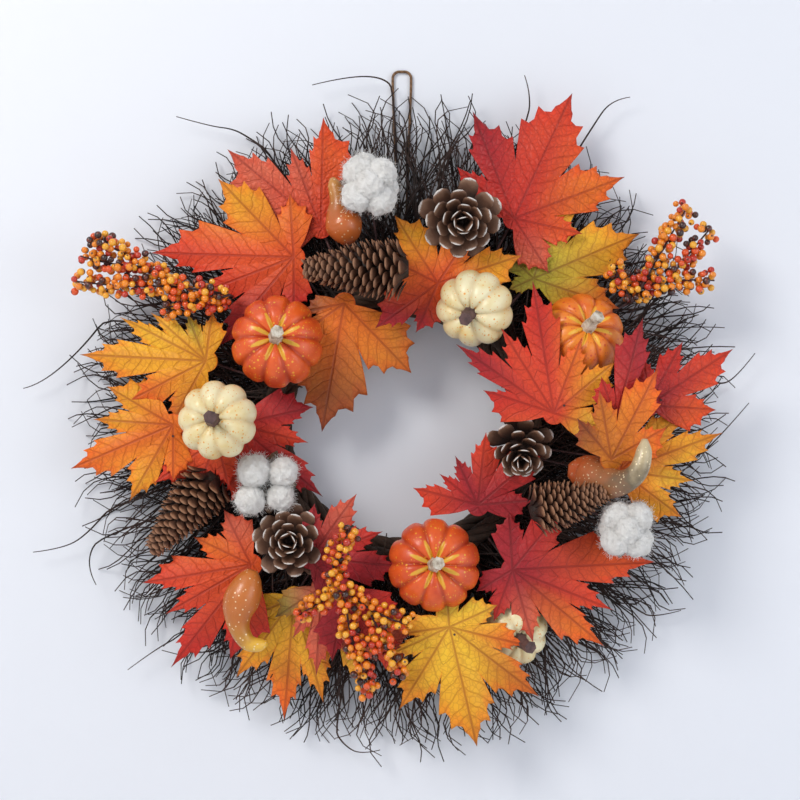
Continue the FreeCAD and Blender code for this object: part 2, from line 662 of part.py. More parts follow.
def spot_reaches(hub, outline, place, radius):
    """Whether a round place may meet the outline's box."""
    xs = [hub[0] + x for x, z in outline]
    zs = [hub[1] + z for x, z in outline]
    return (min(xs) - radius < place[0] < max(xs) + radius) and (min(zs) - radius < place[1] < max(zs) + radius)


def round_tool(label, place, depth, expression):
    """A drum along Y, through one layer of leaves."""
    middle = dressing_point(place, depth + size("leaf_layer_step") / 2)
    return part_object("Part::Cylinder", label, Placement(middle, aim(Vector(0, 1, 0))),
                       Radius=expression, Height="Sizes.leaf_layer_step")


def long_tool(label, place, depth, length, width, direction):
    """A block along a direction in the wreath's plane, through one layer of leaves."""
    middle = dressing_point(place, depth)
    turn = Rotation(Vector(0, -1, 0), direction)
    corner = Vector(-length / 2, -size("leaf_layer_step") / 2, -width / 2)
    made = part_object("Part::Box", label, Placement(middle + turn.multVec(corner), turn),
                       Width="Sizes.leaf_layer_step")
    made.Length = length
    made.Height = width
    return made


def leaf_depth(layer):
    return size("leaf_first_depth") + layer * size("leaf_layer_step")


for label, (hub, foot, layer, lobes) in LEAVES.items():
    stems.append((label, (hub[0] + foot[0], hub[1] + foot[1]), leaf_depth(layer)))

for label, (hub, foot, layer, lobes) in LEAVES.items():
    depth = leaf_depth(layer)
    outline = leaf_outline(lobes)
    body = leaf_body(label, hub, layer, outline)
    margin = size("leaf_thickness") / 2 + size("clearance")
    tools = []
    for owner, place, length, width, direction, rear, front in footprints:
        if not (rear - margin < depth < front + margin and spot_reaches(hub, outline, place, length / 2)):
            continue
        name = "%s_seat_%d" % (label, len(tools) + 1)
        if length == width:
            tools.append(round_tool(name, place, depth, "%s mm + Sizes.clearance * 1 mm" % (width / 2)))
        else:
            reach = 2 * size("clearance")
            tools.append(long_tool(name, place, depth, length + reach, width + reach, direction))
    for owner, place, start_depth in stems:
        if owner != label and start_depth > depth - margin and spot_reaches(hub, outline, place, 0):
            name = "%s_bore_%d" % (label, len(tools) + 1)
            tools.append(round_tool(name, place, depth, "Sizes.pick_thickness / 2 + Sizes.clearance / 2"))
    if not tools:
        parts.append(body)
        continue
    if len(tools) > 1:
        tool = doc.addObject("Part::MultiFuse", label + "_clearances")
        tool.Shapes = tools
    else:
        tool = tools[0]
    made = doc.addObject("Part::Cut", label + "_trimmed")
    made.Base = body
    made.Tool = tool
    body.Label = label + "_blank"
    made.Label = label
    parts.append(made)

# ---- Wire stems: each runs straight back from its piece, then in to the core.
SPREAD_ROUNDS = 200


def place_angle(place):
    return math.degrees(math.atan2(place[1], place[0])) % CIRCLE


def spread(angles, spacing):
    """Sorted angles moved apart until each pair of neighbours has at least the spacing."""
    spread_angles = list(angles)
    for _ in range(SPREAD_ROUNDS):
        for index in range(1, len(spread_angles)):
            short = spacing - (spread_angles[index] - spread_angles[index - 1])
            if short > 0:
                spread_angles[index - 1] -= short / 2
                spread_angles[index] += short / 2
    return spread_angles


def stem_shape(place, depth, root_angle):
    """A stem straight back from its piece to its bend, then in to its own place in the front turn of vine."""
    route = [dressing_point(place, depth), dressing_point(place, size("pick_depth")),
             polar_point(root_angle, size("core_radius"), size("pick_root_depth") + core_lift)]
    if (route[2] - route[1]).Length < 2 * size("pick_bend"):
        route = [route[0], Vector(route[0].x, route[2].y, route[0].z)]
    return tube(route, size("pick_thickness"), size("pick_bend"))


stems.sort(key=lambda stem: place_angle(stem[1]))
root_angles = spread([place_angle(place) for owner, place, depth in stems], size("pick_root_spacing"))
stem_solids = [stem_shape(place, depth, angle) for (owner, place, depth), angle in zip(stems, root_angles)]
parts.append(plain_feature("pick_wires", Part.makeCompound(stem_solids)))

doc.recompute()

# ---- Every object is sound before anything is written.
for item in doc.Objects:
    if "Invalid" in item.State or "Error" in item.State:
        raise RuntimeError("%s failed: %s" % (item.Label, item.State))
for item in parts:
    if item.Shape.isNull() or not item.Shape.isValid():
        raise RuntimeError("%s has no sound shape" % item.Label)

os.makedirs("parts", exist_ok=True)
for item in parts:
    item.Shape.exportStep("parts/%s.step" % item.Label)
print("%d pieces, %d solids" % (len(parts), sum(len(item.Shape.Solids) for item in parts)))
for item in parts:
    if item.Label.startswith("leaf") and len(item.Shape.Solids) != 1:
        print("in pieces:", item.Label, [round(solid.Volume) for solid in item.Shape.Solids])
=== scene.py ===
import random
from math import ceil, cos, exp, pi, radians, sin

import bmesh
import bpy
from mathutils import Matrix, Vector, noise


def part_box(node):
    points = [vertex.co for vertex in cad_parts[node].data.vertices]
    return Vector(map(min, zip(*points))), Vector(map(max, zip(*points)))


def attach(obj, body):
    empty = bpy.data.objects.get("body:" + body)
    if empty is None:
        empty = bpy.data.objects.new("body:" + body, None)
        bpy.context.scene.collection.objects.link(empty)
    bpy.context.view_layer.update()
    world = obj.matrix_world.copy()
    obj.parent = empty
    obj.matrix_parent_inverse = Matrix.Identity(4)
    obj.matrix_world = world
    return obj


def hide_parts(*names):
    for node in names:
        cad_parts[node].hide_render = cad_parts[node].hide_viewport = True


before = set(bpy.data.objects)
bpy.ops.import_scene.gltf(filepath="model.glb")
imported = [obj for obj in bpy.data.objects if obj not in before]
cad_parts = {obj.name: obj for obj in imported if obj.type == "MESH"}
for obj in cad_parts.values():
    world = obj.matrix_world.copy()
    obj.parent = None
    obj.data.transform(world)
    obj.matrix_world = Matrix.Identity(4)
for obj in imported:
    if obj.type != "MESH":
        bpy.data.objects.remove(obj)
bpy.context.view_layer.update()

MM = 0.001
CIRCLE = 2 * pi
put_in = bpy.context.scene.collection.objects.link
GOLDEN_TURN = CIRCLE * 0.381966

# ---- Place of the wreath. The steel ring inside it gives the middle of the ring and the plane of the door,
# which lies 3 mm behind it. Places round the ring are millimetres to the right and up from its middle, and a
# depth is millimetres out from the door.
ring_low, ring_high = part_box("wire_frame")
ring_middle = (ring_low + ring_high) / 2
DOOR_BEHIND_RING = 3.0
door_y = ring_high.y + DOOR_BEHIND_RING * MM


def at(x, z, depth):
    return Vector((ring_middle.x + x * MM, door_y - depth * MM, ring_middle.z + z * MM))


def depth_of(node_name):
    """Depth of the middle of a CAD node in front of the door, in millimetres."""
    low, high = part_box(node_name)
    return (door_y - (low.y + high.y) / 2) / MM


# ---- Camera and studio light. The view is straight on to the door, a little above the ring's middle. A large
# soft key stands at the upper left, with a weaker fill at the right, a light behind for the back of the wreath
# and a pale sky round about.
VIEW_WIDTH = 640 * MM
LENS = 85.0
SENSOR = 36.0
VIEW_DEPTH = 60.0
VIEW_CENTRE = (-1.6, 22.4)

camera_data = bpy.data.cameras.new("camera")
camera_data.lens = LENS
camera_data.sensor_width = SENSOR
camera = bpy.data.objects.new("camera", camera_data)
put_in(camera)
camera.location = at(*VIEW_CENTRE, VIEW_DEPTH) + Vector((0, -VIEW_WIDTH * LENS / SENSOR, 0))
camera.rotation_euler = (pi / 2, 0, 0)
bpy.context.scene.camera = camera


def soft_light(name, place, aim, size, power, colour):
    data = bpy.data.lights.new(name, "AREA")
    data.size = size
    data.energy = power
    data.color = colour
    lamp = bpy.data.objects.new(name, data)
    lamp.location = place
    lamp.rotation_euler = (Vector(aim) - Vector(place)).to_track_quat("-Z", "Y").to_euler()
    put_in(lamp)


wreath_middle = at(0, 0, 40)
soft_light("key", (-1.1, -1.5, 0.75), wreath_middle, 0.7, 23, (1.0, 0.96, 0.90))
soft_light("fill", (1.4, -1.3, -0.2), wreath_middle, 1.2, 9, (0.94, 0.97, 1.0))
soft_light("back", (0.6, 1.6, 0.6), wreath_middle, 1.4, 30, (1.0, 1.0, 1.0))

world = bpy.data.worlds.new("studio")
world.use_nodes = True
world.node_tree.nodes["Background"].inputs["Color"].default_value = (0.90, 0.93, 1.0, 1)
world.node_tree.nodes["Background"].inputs["Strength"].default_value = 0.50
bpy.context.scene.world = world
bpy.context.scene.view_settings.view_transform = "Standard"

# ---- Stage: a pale floor, and a smooth pale door face that the wreath hangs on. The door shows from the front
# only, so that the back of the wreath can be seen too.
# Metres.
FLOOR_BELOW_HOOK = 0.78
FLOOR_HALF = 3
DOOR_HALF = 0.9
DOOR_TOP = 0.5
DOOR_COLOUR = (0.80, 0.83, 0.90)


def node(tree, kind, links=None, values=None, **settings):
    """A node with its settings, its input values and what its inputs are linked from."""
    made = tree.nodes.new(kind)
    for name, value in settings.items():
        setattr(made, name, value)
    for key, value in (values or {}).items():
        made.inputs[key].default_value = value
    for key, source in (links or {}).items():
        tree.links.new(source, made.inputs[key])
    return made


def new_material(name, **values):
    material = bpy.data.materials.new(name)
    material.use_nodes = True
    shader = material.node_tree.nodes["Principled BSDF"]
    for key, value in values.items():
        shader.inputs[key.replace("_", " ")].default_value = value
    return material, material.node_tree, shader


def plain_mesh(name, verts, faces):
    mesh = bpy.data.meshes.new(name)
    mesh.from_pydata([tuple(vert) for vert in verts], [], faces)
    return mesh


def stage_sheet(name, corners, material):
    mesh = plain_mesh(name, corners, [(0, 1, 2, 3)])
    mesh.materials.append(material)
    made = bpy.data.objects.new(name, mesh)
    put_in(made)


floor_paint, _, _ = new_material("floor_paint", Base_Color=(0.8, 0.8, 0.8, 1), Roughness=0.7)
stage_sheet("floor", [(x * FLOOR_HALF, y * FLOOR_HALF, -FLOOR_BELOW_HOOK) for x,
    y in ((-1, -1), (1, -1), (1, 1), (-1, 1))], floor_paint)

door_paint, door_tree, door_shader = new_material("door_paint", Base_Color=(*DOOR_COLOUR, 1), Roughness=0.55)
see_through = node(door_tree, "ShaderNodeBsdfTransparent")
behind = node(door_tree, "ShaderNodeNewGeometry").outputs["Backfacing"]
door_mix = node(door_tree, "ShaderNodeMixShader", {0: behind, 1: door_shader.outputs["BSDF"],
    2: see_through.outputs["BSDF"]})
door_tree.links.new(door_mix.outputs["Shader"], door_tree.nodes["Material Output"].inputs["Surface"])
door_back = door_y + 0.4 * MM
stage_sheet("door_face", [(x * DOOR_HALF, door_back, z) for x,
    z in ((-1, -FLOOR_BELOW_HOOK), (1, -FLOOR_BELOW_HOOK), (1, DOOR_TOP), (-1, DOOR_TOP))], door_paint)

# ---- Steel ring, binding wire and wire stems. The ring is thick wire in dark green enamel; the ties and the
# stems of the picks are thin wire wrapped in dark floral tape. These keep their own solids.


def paint(shader, colour):
    shader.id_data.links.new(colour, shader.inputs["Base Color"])


def ramp(factor, *stops):
    """A colour ramp with stops of (place, colour)."""
    made = node(factor.id_data, "ShaderNodeValToRGB", {"Fac": factor})
    elements = made.color_ramp.elements
    while len(elements) < len(stops):
        elements.new(0.5)
    for element, (place, colour) in zip(elements, stops):
        element.position = place
        element.color = (*colour, 1)
    return made.outputs["Color"]


def bump(shader, height, strength, distance):
    made = node(shader.id_data, "ShaderNodeBump", {"Height": height}, {"Strength": strength, "Distance": distance})
    shader.id_data.links.new(made.outputs["Normal"], shader.inputs["Normal"])


def mottle_group():
    """Two sizes of uneven colour and fine grain, read on Object coordinates in metres."""
    group = bpy.data.node_groups.new("mottle", "ShaderNodeTree")
    for name, kind, side, value in (("Coarse Scale", "NodeSocketFloat", "INPUT", 40.0),
            ("Fine Scale", "NodeSocketFloat", "INPUT", 400.0), ("Coarse", "NodeSocketFloat", "OUTPUT", 0.0),
            ("Fine", "NodeSocketFloat", "OUTPUT", 0.0)):
        socket = group.interface.new_socket(name=name, in_out=side, socket_type=kind)
        if side == "INPUT":
            socket.default_value = value
    inlet = node(group, "NodeGroupInput")
    outlet = node(group, "NodeGroupOutput")
    place = node(group, "ShaderNodeTexCoord").outputs["Object"]
    coarse = node(group, "ShaderNodeTexNoise", {"Vector": place, "Scale": inlet.outputs["Coarse Scale"]},
        {"Detail": 3.0, "Roughness": 0.6})
    fine = node(group, "ShaderNodeTexNoise", {"Vector": place, "Scale": inlet.outputs["Fine Scale"]},
        {"Detail": 2.0, "Roughness": 0.7})
    group.links.new(coarse.outputs["Fac"], outlet.inputs["Coarse"])
    group.links.new(fine.outputs["Fac"], outlet.inputs["Fine"])
    return group


mottle = mottle_group()


def mottled(tree, coarse, fine):
    made = node(tree, "ShaderNodeGroup", node_tree=mottle)
    made.inputs["Coarse Scale"].default_value = coarse
    made.inputs["Fine Scale"].default_value = fine
    return made.outputs["Coarse"], made.outputs["Fine"]


def mottled_skin(name, scales, stops, grain, **values):
    """A material in uneven colours, with a fine grain of (strength, depth)."""
    material, tree, shader = new_material(name, **values)
    coarse, fine = mottled(tree, *scales)
    paint(shader, ramp(coarse, *stops))
    bump(shader, fine, *grain)
    return material


def paint_nodes(material, *names):
    for name in names:
        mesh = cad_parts[name].data
        mesh.materials.clear()
        mesh.materials.append(material)


enamel = mottled_skin("ring_enamel", (60, 900), ((0.3, (0.012, 0.03, 0.012)), (0.7, (0.03, 0.055, 0.025))),
    (0.3, 0.0003), Roughness=0.35, Coat_Weight=0.4)
paint_nodes(enamel, "wire_frame")

floral_tape = mottled_skin("floral_tape", (120, 700), ((0.3, (0.020, 0.012, 0.008)),
    (0.7, (0.075, 0.045, 0.026))), (0.6, 0.0006), Roughness=0.75)
paint_nodes(floral_tape, "binding_wire", "pick_wires")

# ---- Hanger: a loop of stiff wire spun over with brown paper, its ends twisted into an eye that turns on the
# steel ring. It keeps its own solid, and the paper's slanting wrap shows in its surface.


def object_place(tree):
    return node(tree, "ShaderNodeTexCoord").outputs["Object"]


def mix(tree, factor, first, second, blend="MIX"):
    """Mixes two colours; each is a socket or a colour."""
    made = node(tree, "ShaderNodeMix", data_type="RGBA", blend_type=blend)
    for key, value in (("Factor", factor), ("A", first), ("B", second)):
        socket = next(s for s in made.inputs if s.name == key and s.enabled)
        if isinstance(value, bpy.types.NodeSocket):
            tree.links.new(value, socket)
        elif isinstance(value, (int, float)):
            socket.default_value = value
        else:
            socket.default_value = (*value, 1)
    return next(s for s in made.outputs if s.enabled)


def maths(operation, first, second=0.0):
    """A sum of two values; each is a socket or a number, and at least one is a socket."""
    tree = (first if isinstance(first, bpy.types.NodeSocket) else second).id_data
    made = node(tree, "ShaderNodeMath", operation=operation)
    for index, value in enumerate((first, second)):
        if isinstance(value, bpy.types.NodeSocket):
            tree.links.new(value, made.inputs[index])
        else:
            made.inputs[index].default_value = value
    return made.outputs[0]


def times(first, second):
    return maths("MULTIPLY", first, second)


def plus(first, second):
    return maths("ADD", first, second)


def minus(first, second):
    return maths("SUBTRACT", first, second)


def one_less(value):
    return minus(1.0, value)


paper_wrap, tree, shader = new_material("paper_wrap", Roughness=0.85)
coarse, fine = mottled(tree, 90, 800)
place = object_place(tree)
wrap = node(tree, "ShaderNodeTexWave", {"Vector": place}, {"Scale": 140.0, "Distortion": 1.5, "Detail": 1.0},
    wave_type="BANDS", bands_direction="DIAGONAL").outputs["Fac"]
brown = ramp(coarse, (0.3, (0.17, 0.085, 0.04)), (0.7, (0.30, 0.17, 0.085)))
paint(shader, mix(tree, wrap, brown, (0.13, 0.07, 0.035)))
bump(shader, plus(wrap, fine), 0.6, 0.0006)
paint_nodes(paper_wrap, "hanger_loop")

# ---- Vine core: three turns, each of five stripped vines twisted together. The bark is dark brown, dry and
# split along its length.
VINES_PER_TURN = 5
VINE_TWISTS = 9
VINE_STEPS = 260
VINE_SIDES = 7


def band(first, second, sides):
    """Faces between two rings of points that start at these numbers."""
    return [(first + side, first + (side + 1) % sides, second + (side + 1) % sides, second + side)
        for side in range(sides)]


def sweep(points, radii, sides, closed=False):
    """Vertices and faces of a tube along points, with a radius at each."""
    verts, faces = [], []
    count = len(points)
    across = None
    for index, point in enumerate(points):
        ahead = points[(index + 1) % count] if closed else points[min(index + 1, count - 1)]
        before = points[index - 1] if closed else points[max(index - 1, 0)]
        along = (ahead - before).normalized()
        if across is None:
            across = along.orthogonal().normalized()
        across = (across - along * across.dot(along)).normalized()
        third = along.cross(across)
        for side in range(sides):
            turn = CIRCLE * side / sides
            verts.append(point + (across * cos(turn) + third * sin(turn)) * radii[index])
    for ring in range(count if closed else count - 1):
        faces += band(ring * sides, ((ring + 1) % count) * sides, sides)
    if not closed:
        faces.append(tuple(reversed(range(sides))))
        faces.append(tuple(range((count - 1) * sides, count * sides)))
    return verts, faces


def joined(shapes):
    """One list of vertices and faces from several."""
    verts, faces = [], []
    for part_verts, part_faces in shapes:
        offset = len(verts)
        verts += part_verts
        faces += [tuple(corner + offset for corner in face) for face in part_faces]
    return verts, faces


def add_piece(name, shape, material, replaced=(), smooth=True):
    """A finished piece from vertices and faces, riding on its body."""
    return finish_piece(name, plain_mesh(name, *shape), material, replaced, smooth)


def finish_piece(name, mesh, material, replaced=(), smooth=True):
    """A finished piece of the wreath's body, with what it replaces."""
    mesh.validate()
    mesh.shade_smooth() if smooth else mesh.shade_flat()
    if material:
        mesh.materials.clear()
        mesh.materials.append(material)
    made = bpy.data.objects.new(name, mesh)
    put_in(made)
    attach(made, "wreath")
    if replaced:
        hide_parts(*replaced)
    return made


def bark_material(name, dark, pale, groove_depth):
    material, tree, shader = new_material(name, Roughness=0.82)
    coarse, fine = mottled(tree, 30, 500)
    colour = ramp(coarse, (0.32, dark), (0.72, pale))
    colour = mix(tree, times(fine, 0.45), colour, tuple(value * 0.35 for value in dark))
    paint(shader, colour)
    bump(shader, plus(coarse, fine), 0.8, groove_depth)
    return material


vine_bark = bark_material("vine_bark", (0.030, 0.016, 0.010), (0.120, 0.065, 0.038), 0.0012)


def vine_turn(node_name):
    low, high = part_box(node_name)
    outer = (high.x - low.x) / 2
    thick = (high.y - low.y) / 2
    middle = (low + high) / 2
    vine = thick * 0.46
    orbit = thick - vine * 1.06
    shapes = []
    for number in range(VINES_PER_TURN):
        points, radii = [], []
        for step in range(VINE_STEPS):
            turn = CIRCLE * step / VINE_STEPS
            twist = turn * VINE_TWISTS + CIRCLE * number / VINES_PER_TURN
            radius = outer - thick + orbit * cos(twist)
            points.append(middle + Vector((radius * cos(turn), orbit * sin(twist), radius * sin(turn))))
            knot = noise.noise(points[-1] * 60 + Vector((number * 7.0, 0, 0)))
            radii.append(vine * (0.90 + 0.14 * knot))
        shapes.append(sweep(points, radii, VINE_SIDES, closed=True))
    return joined(shapes)


for number in (1, 2, 3):
    coil = "vine_coil_%d" % number
    add_piece("vines_%d" % number, vine_turn(coil), vine_bark, [coil])

# ---- Twigs: hundreds of stiff dark twigs pushed in round the core. They fan outwards with a swirl, in four
# layers that lean different ways, and each one bends a little and tapers to its tip.
TWIG_LAYERS = (
    # name, count, reach of the tips, bend, skew and its spread in degrees, depth and its spread
    ("twigs_back", 500, 200, 20, 38, 20, 7.5, 5),
    ("twigs_middle", 500, 196, -24, -40, 24, 15, 7),
    ("twigs_front", 330, 166, 22, 34, 34, 23, 8),
    ("twigs_curly", 330, 190, 36, -10, 56, 16, 9),
)


def new_geometry_tree(name, *inputs):
    """A Geometry Nodes tree with named inputs of (name, kind, value)."""
    tree = bpy.data.node_groups.new(name, "GeometryNodeTree")
    tree.interface.new_socket(name="Geometry", in_out="INPUT", socket_type="NodeSocketGeometry")
    tree.interface.new_socket(name="Geometry", in_out="OUTPUT", socket_type="NodeSocketGeometry")
    for input_name, kind, value in inputs:
        socket = tree.interface.new_socket(name=input_name, in_out="INPUT", socket_type="NodeSocket" + kind)
        if value is not None:
            socket.default_value = value
    return tree, node(tree, "NodeGroupInput").outputs


def shaped(tree, kind, links=None, values=None, **settings):
    """The first output of a Geometry Nodes node."""
    return node(tree, "GeometryNode" + kind, links, values, **settings).outputs[0]


def vector(tree, **parts):
    return node(tree, "ShaderNodeCombineXYZ", parts).outputs[0]


def close_tree(tree, instances, material_socket):
    """Ends a tree in Realize Instances and Set Material."""
    real = shaped(tree, "RealizeInstances", {0: instances})
    painted = shaped(tree, "SetMaterial", {"Geometry": real, "Material": material_socket})
    node(tree, "NodeGroupOutput", {0: painted})


def run_tree(name, tree, mesh=None, **values):
    """The plain mesh that a tree makes from a mesh, with its inputs set by name."""
    host = bpy.data.objects.new(name + "_host", mesh or bpy.data.meshes.new(name + "_start"))
    put_in(host)
    modifier = host.modifiers.new(name, "NODES")
    modifier.node_group = tree
    for item in tree.interface.items_tree:
        key = item.name.replace(" ", "_")
        if item.in_out == "INPUT" and key in values:
            modifier[item.identifier] = values[key]
    graph = bpy.context.evaluated_depsgraph_get()
    made = bpy.data.meshes.new_from_object(host.evaluated_get(graph))
    host.modifiers.remove(modifier)
    bpy.data.objects.remove(host)
    return made


def random_value(tree, low, high, seed, kind="FLOAT"):
    made = node(tree, "FunctionNodeRandomValue", data_type=kind)
    slots = [s for s in made.inputs if s.enabled]
    for name, value in (("Min", low), ("Max", high), ("Seed", seed)):
        socket = next(s for s in slots if s.name == name)
        if isinstance(value, bpy.types.NodeSocket):
            tree.links.new(value, socket)
        else:
            socket.default_value = value
    return next(s for s in made.outputs if s.enabled)


def twig_tree():
    """Twigs on points round a ring, in the XZ plane, each a tapering bent tube."""
    tree, given = new_geometry_tree("twig_fan", ("Count", "Int", 250), ("Ring Radius", "Float", 0.1),
        ("Length", "Float", 0.14), ("Bend", "Float", 0.01), ("Skew", "Float", 0.4),
        ("Skew Spread", "Float", 0.3), ("Depth Spread", "Float", 0.005), ("Thickness", "Float", 0.001),
        ("Material", "Material", None))
    index = shaped(tree, "InputIndex")
    points = shaped(tree, "MeshLine", {"Count": given["Count"]})
    jitter = random_value(tree, -0.5, 0.5, 1)
    place = maths("DIVIDE", plus(index, jitter), given["Count"])
    angle = times(place, CIRCLE)
    x = times(maths("COSINE", angle), given["Ring Radius"])
    z = times(maths("SINE", angle), given["Ring Radius"])
    y = times(random_value(tree, -1.0, 1.0, 2), given["Depth Spread"])
    spot = vector(tree, X=x, Y=y, Z=z)
    points = shaped(tree, "SetPosition", {"Geometry": points, "Position": spot})
    line = shaped(tree, "CurvePrimitiveLine", {"End": vector(tree, X=given["Length"])})
    line = shaped(tree, "ResampleCurve", {"Curve": line}, {"Count": 14})
    share = node(tree, "GeometryNodeSplineParameter").outputs["Factor"]
    kink = maths("SINE", times(maths("POWER", share, 1.3), 5.6))
    kink = times(times(kink, share), given["Bend"])
    hook = times(maths("POWER", share, 4.0), given["Bend"])
    shift = vector(tree, Z=plus(kink, hook))
    spine = shaped(tree, "SetPosition", {"Geometry": line, "Offset": shift})
    along = node(tree, "GeometryNodeSplineParameter").outputs["Factor"]
    taper = one_less(times(along, 0.50))
    profile = shaped(tree, "CurvePrimitiveCircle", {"Radius": given["Thickness"]}, {"Resolution": 5})
    twig = shaped(tree, "CurveToMesh", {"Curve": spine, "Profile Curve": profile, "Scale": taper},
        {"Fill Caps": True})
    lean = plus(given["Skew"], times(random_value(tree, -1.0, 1.0, 3), given["Skew Spread"]))
    turn = times(plus(angle, lean), -1.0)
    roll = random_value(tree, -3.1, 3.1, 4)
    rotation = vector(tree, X=roll, Y=turn)
    size = random_value(tree, 0.62, 1.0, 5)
    fan = shaped(tree, "InstanceOnPoints", {"Points": points, "Instance": twig, "Rotation": rotation,
        "Scale": size})
    close_tree(tree, fan, given["Material"])
    return tree


twig_bark = bark_material("twig_bark", (0.014, 0.008, 0.007), (0.070, 0.034, 0.026), 0.0006)
twig_fan = twig_tree()
bundles = ["twig_bundle_%d" % number for number in range(1, 7)]
ROOT_RADIUS = 108.0
TWIG_THICK = 0.98
TWIG_DOOR_GAP = 0.6
# Ends past this radius are trimmed in, so the ring keeps an even edge.
TWIG_FREE_RADIUS = 240.0
TWIG_PULL = 0.34
for name, count, reach, bend, skew, spread, depth, depth_spread in TWIG_LAYERS:
    mesh = run_tree(name, twig_fan, Count=count, Ring_Radius=ROOT_RADIUS * MM, Length=reach * MM,
        Bend=bend * MM, Skew=radians(skew), Skew_Spread=radians(spread), Depth_Spread=depth_spread * MM,
        Thickness=TWIG_THICK * MM, Material=twig_bark)
    mesh.transform(Matrix.Translation(at(0, 0, depth)))
    for vert in mesh.vertices:
        out = Vector((vert.co.x - ring_middle.x, 0, vert.co.z - ring_middle.z))
        extra = max(0.0, out.length - TWIG_FREE_RADIUS * MM)
        vert.co -= out.normalized() * (extra * TWIG_PULL)
        vert.co.y = min(vert.co.y, door_y - TWIG_DOOR_GAP * MM)
    finish_piece(name, mesh, None, bundles if name == "twigs_front" else ())

# ---- Curled twigs: the longest ends, which stand out past the rest and curl. Each one is a tapering shoot that
# is held in the core with the others.
STRAYS = (
    # angle of the root, places along the shoot
    (115, ((-102, 222), (-128, 240), (-140, 246), (-158, 248), (-186, 256))),
    (91, ((-4, 276), (-16, 289), (-46, 289), (-74, 282))),
    (157, ((-235, 102), (-264, 64), (-298, 35), (-312, 32))),
    (194, ((-234, -58), (-258, -87), (-278, -100), (-304, -103))),
    (204, ((-246, -84), (-262, -112), (-252, -130))),
    (67, ((104, 250), (106, 276), (101, 290))),
    (57, ((158, 250), (173, 270), (188, 272))),
    (20, ((202, 74), (230, 84), (266, 82))),
    (9, ((250, 42), (264, 34), (278, 44), (291, 61))),
    (-7, ((238, -30), (262, -8), (286, 20))),
    (257, ((-58, -246), (-48, -262), (-34, -270), (-18, -266))),
    (223, ((-178, -170), (-202, -182), (-226, -200))),
    (176, ((-226, 22), (-252, 10), (-272, 0))),
    (-38, ((194, -154), (212, -156), (230, -151))),
)
STRAY_RADIUS = (0.95, 0.35)


def smooth_line(points, steps):
    """Points along a smooth line that starts and ends on the first and last points."""
    curve = bpy.data.curves.new("line", "CURVE")
    curve.dimensions = "3D"
    spline = curve.splines.new("NURBS")
    spline.points.add(len(points) - 1)
    for target, point in zip(spline.points, points):
        target.co = (*point, 1)
    spline.order_u = 3
    spline.use_endpoint_u = True
    curve.resolution_u = steps
    carrier = bpy.data.objects.new("line", curve)
    mesh = bpy.data.meshes.new_from_object(carrier)
    found = [vert.co.copy() for vert in mesh.vertices]
    bpy.data.objects.remove(carrier)
    bpy.data.meshes.remove(mesh)
    bpy.data.curves.remove(curve)
    return found


def tapering(points, start, end, sides, steps=6):
    """A smooth tube that tapers from one radius to another, in millimetres."""
    line = smooth_line(points, steps)
    last = len(line) - 1
    return sweep(line, [(start + (end - start) * step / last) * MM for step in range(last + 1)], sides)


stray_depth = depth_of("stray_twigs")
shoots = []
for root_angle, places in STRAYS:
    root = radians(root_angle)
    route = [at(116 * cos(root), 116 * sin(root), stray_depth)]
    route += [at(x, z, stray_depth) for x, z in places]
    shoots.append(tapering(route, *STRAY_RADIUS, 6))
add_piece("curled_twigs", joined(shoots), twig_bark, ["stray_twigs"])

# ---- Leaves: printed cloth maple leaves, stiffened and pressed between moulds, which gives them their folded
# lobes and raised veins. The print runs from one colour at the hub to others at the lobes' tips. Each leaf is
# cut with toothed lobes and wired to the core from its hub.
PRINT = {
    "crimson": (0.36, 0.012, 0.022), "red": (0.54, 0.024, 0.014), "scarlet": (0.68, 0.056, 0.018),
    "salmon": (0.66, 0.125, 0.070), "pink": (0.68, 0.18, 0.13), "orange": (0.80, 0.170, 0.012),
    "flame": (0.74, 0.090, 0.012), "amber": (0.60, 0.175, 0.012), "brown": (0.28, 0.070, 0.012),
    "gold": (0.80, 0.350, 0.016), "yellow": (0.88, 0.500, 0.032), "green": (0.40, 0.350, 0.030),
    "olive": (0.26, 0.200, 0.030), "maroon": (0.20, 0.006, 0.012),
}
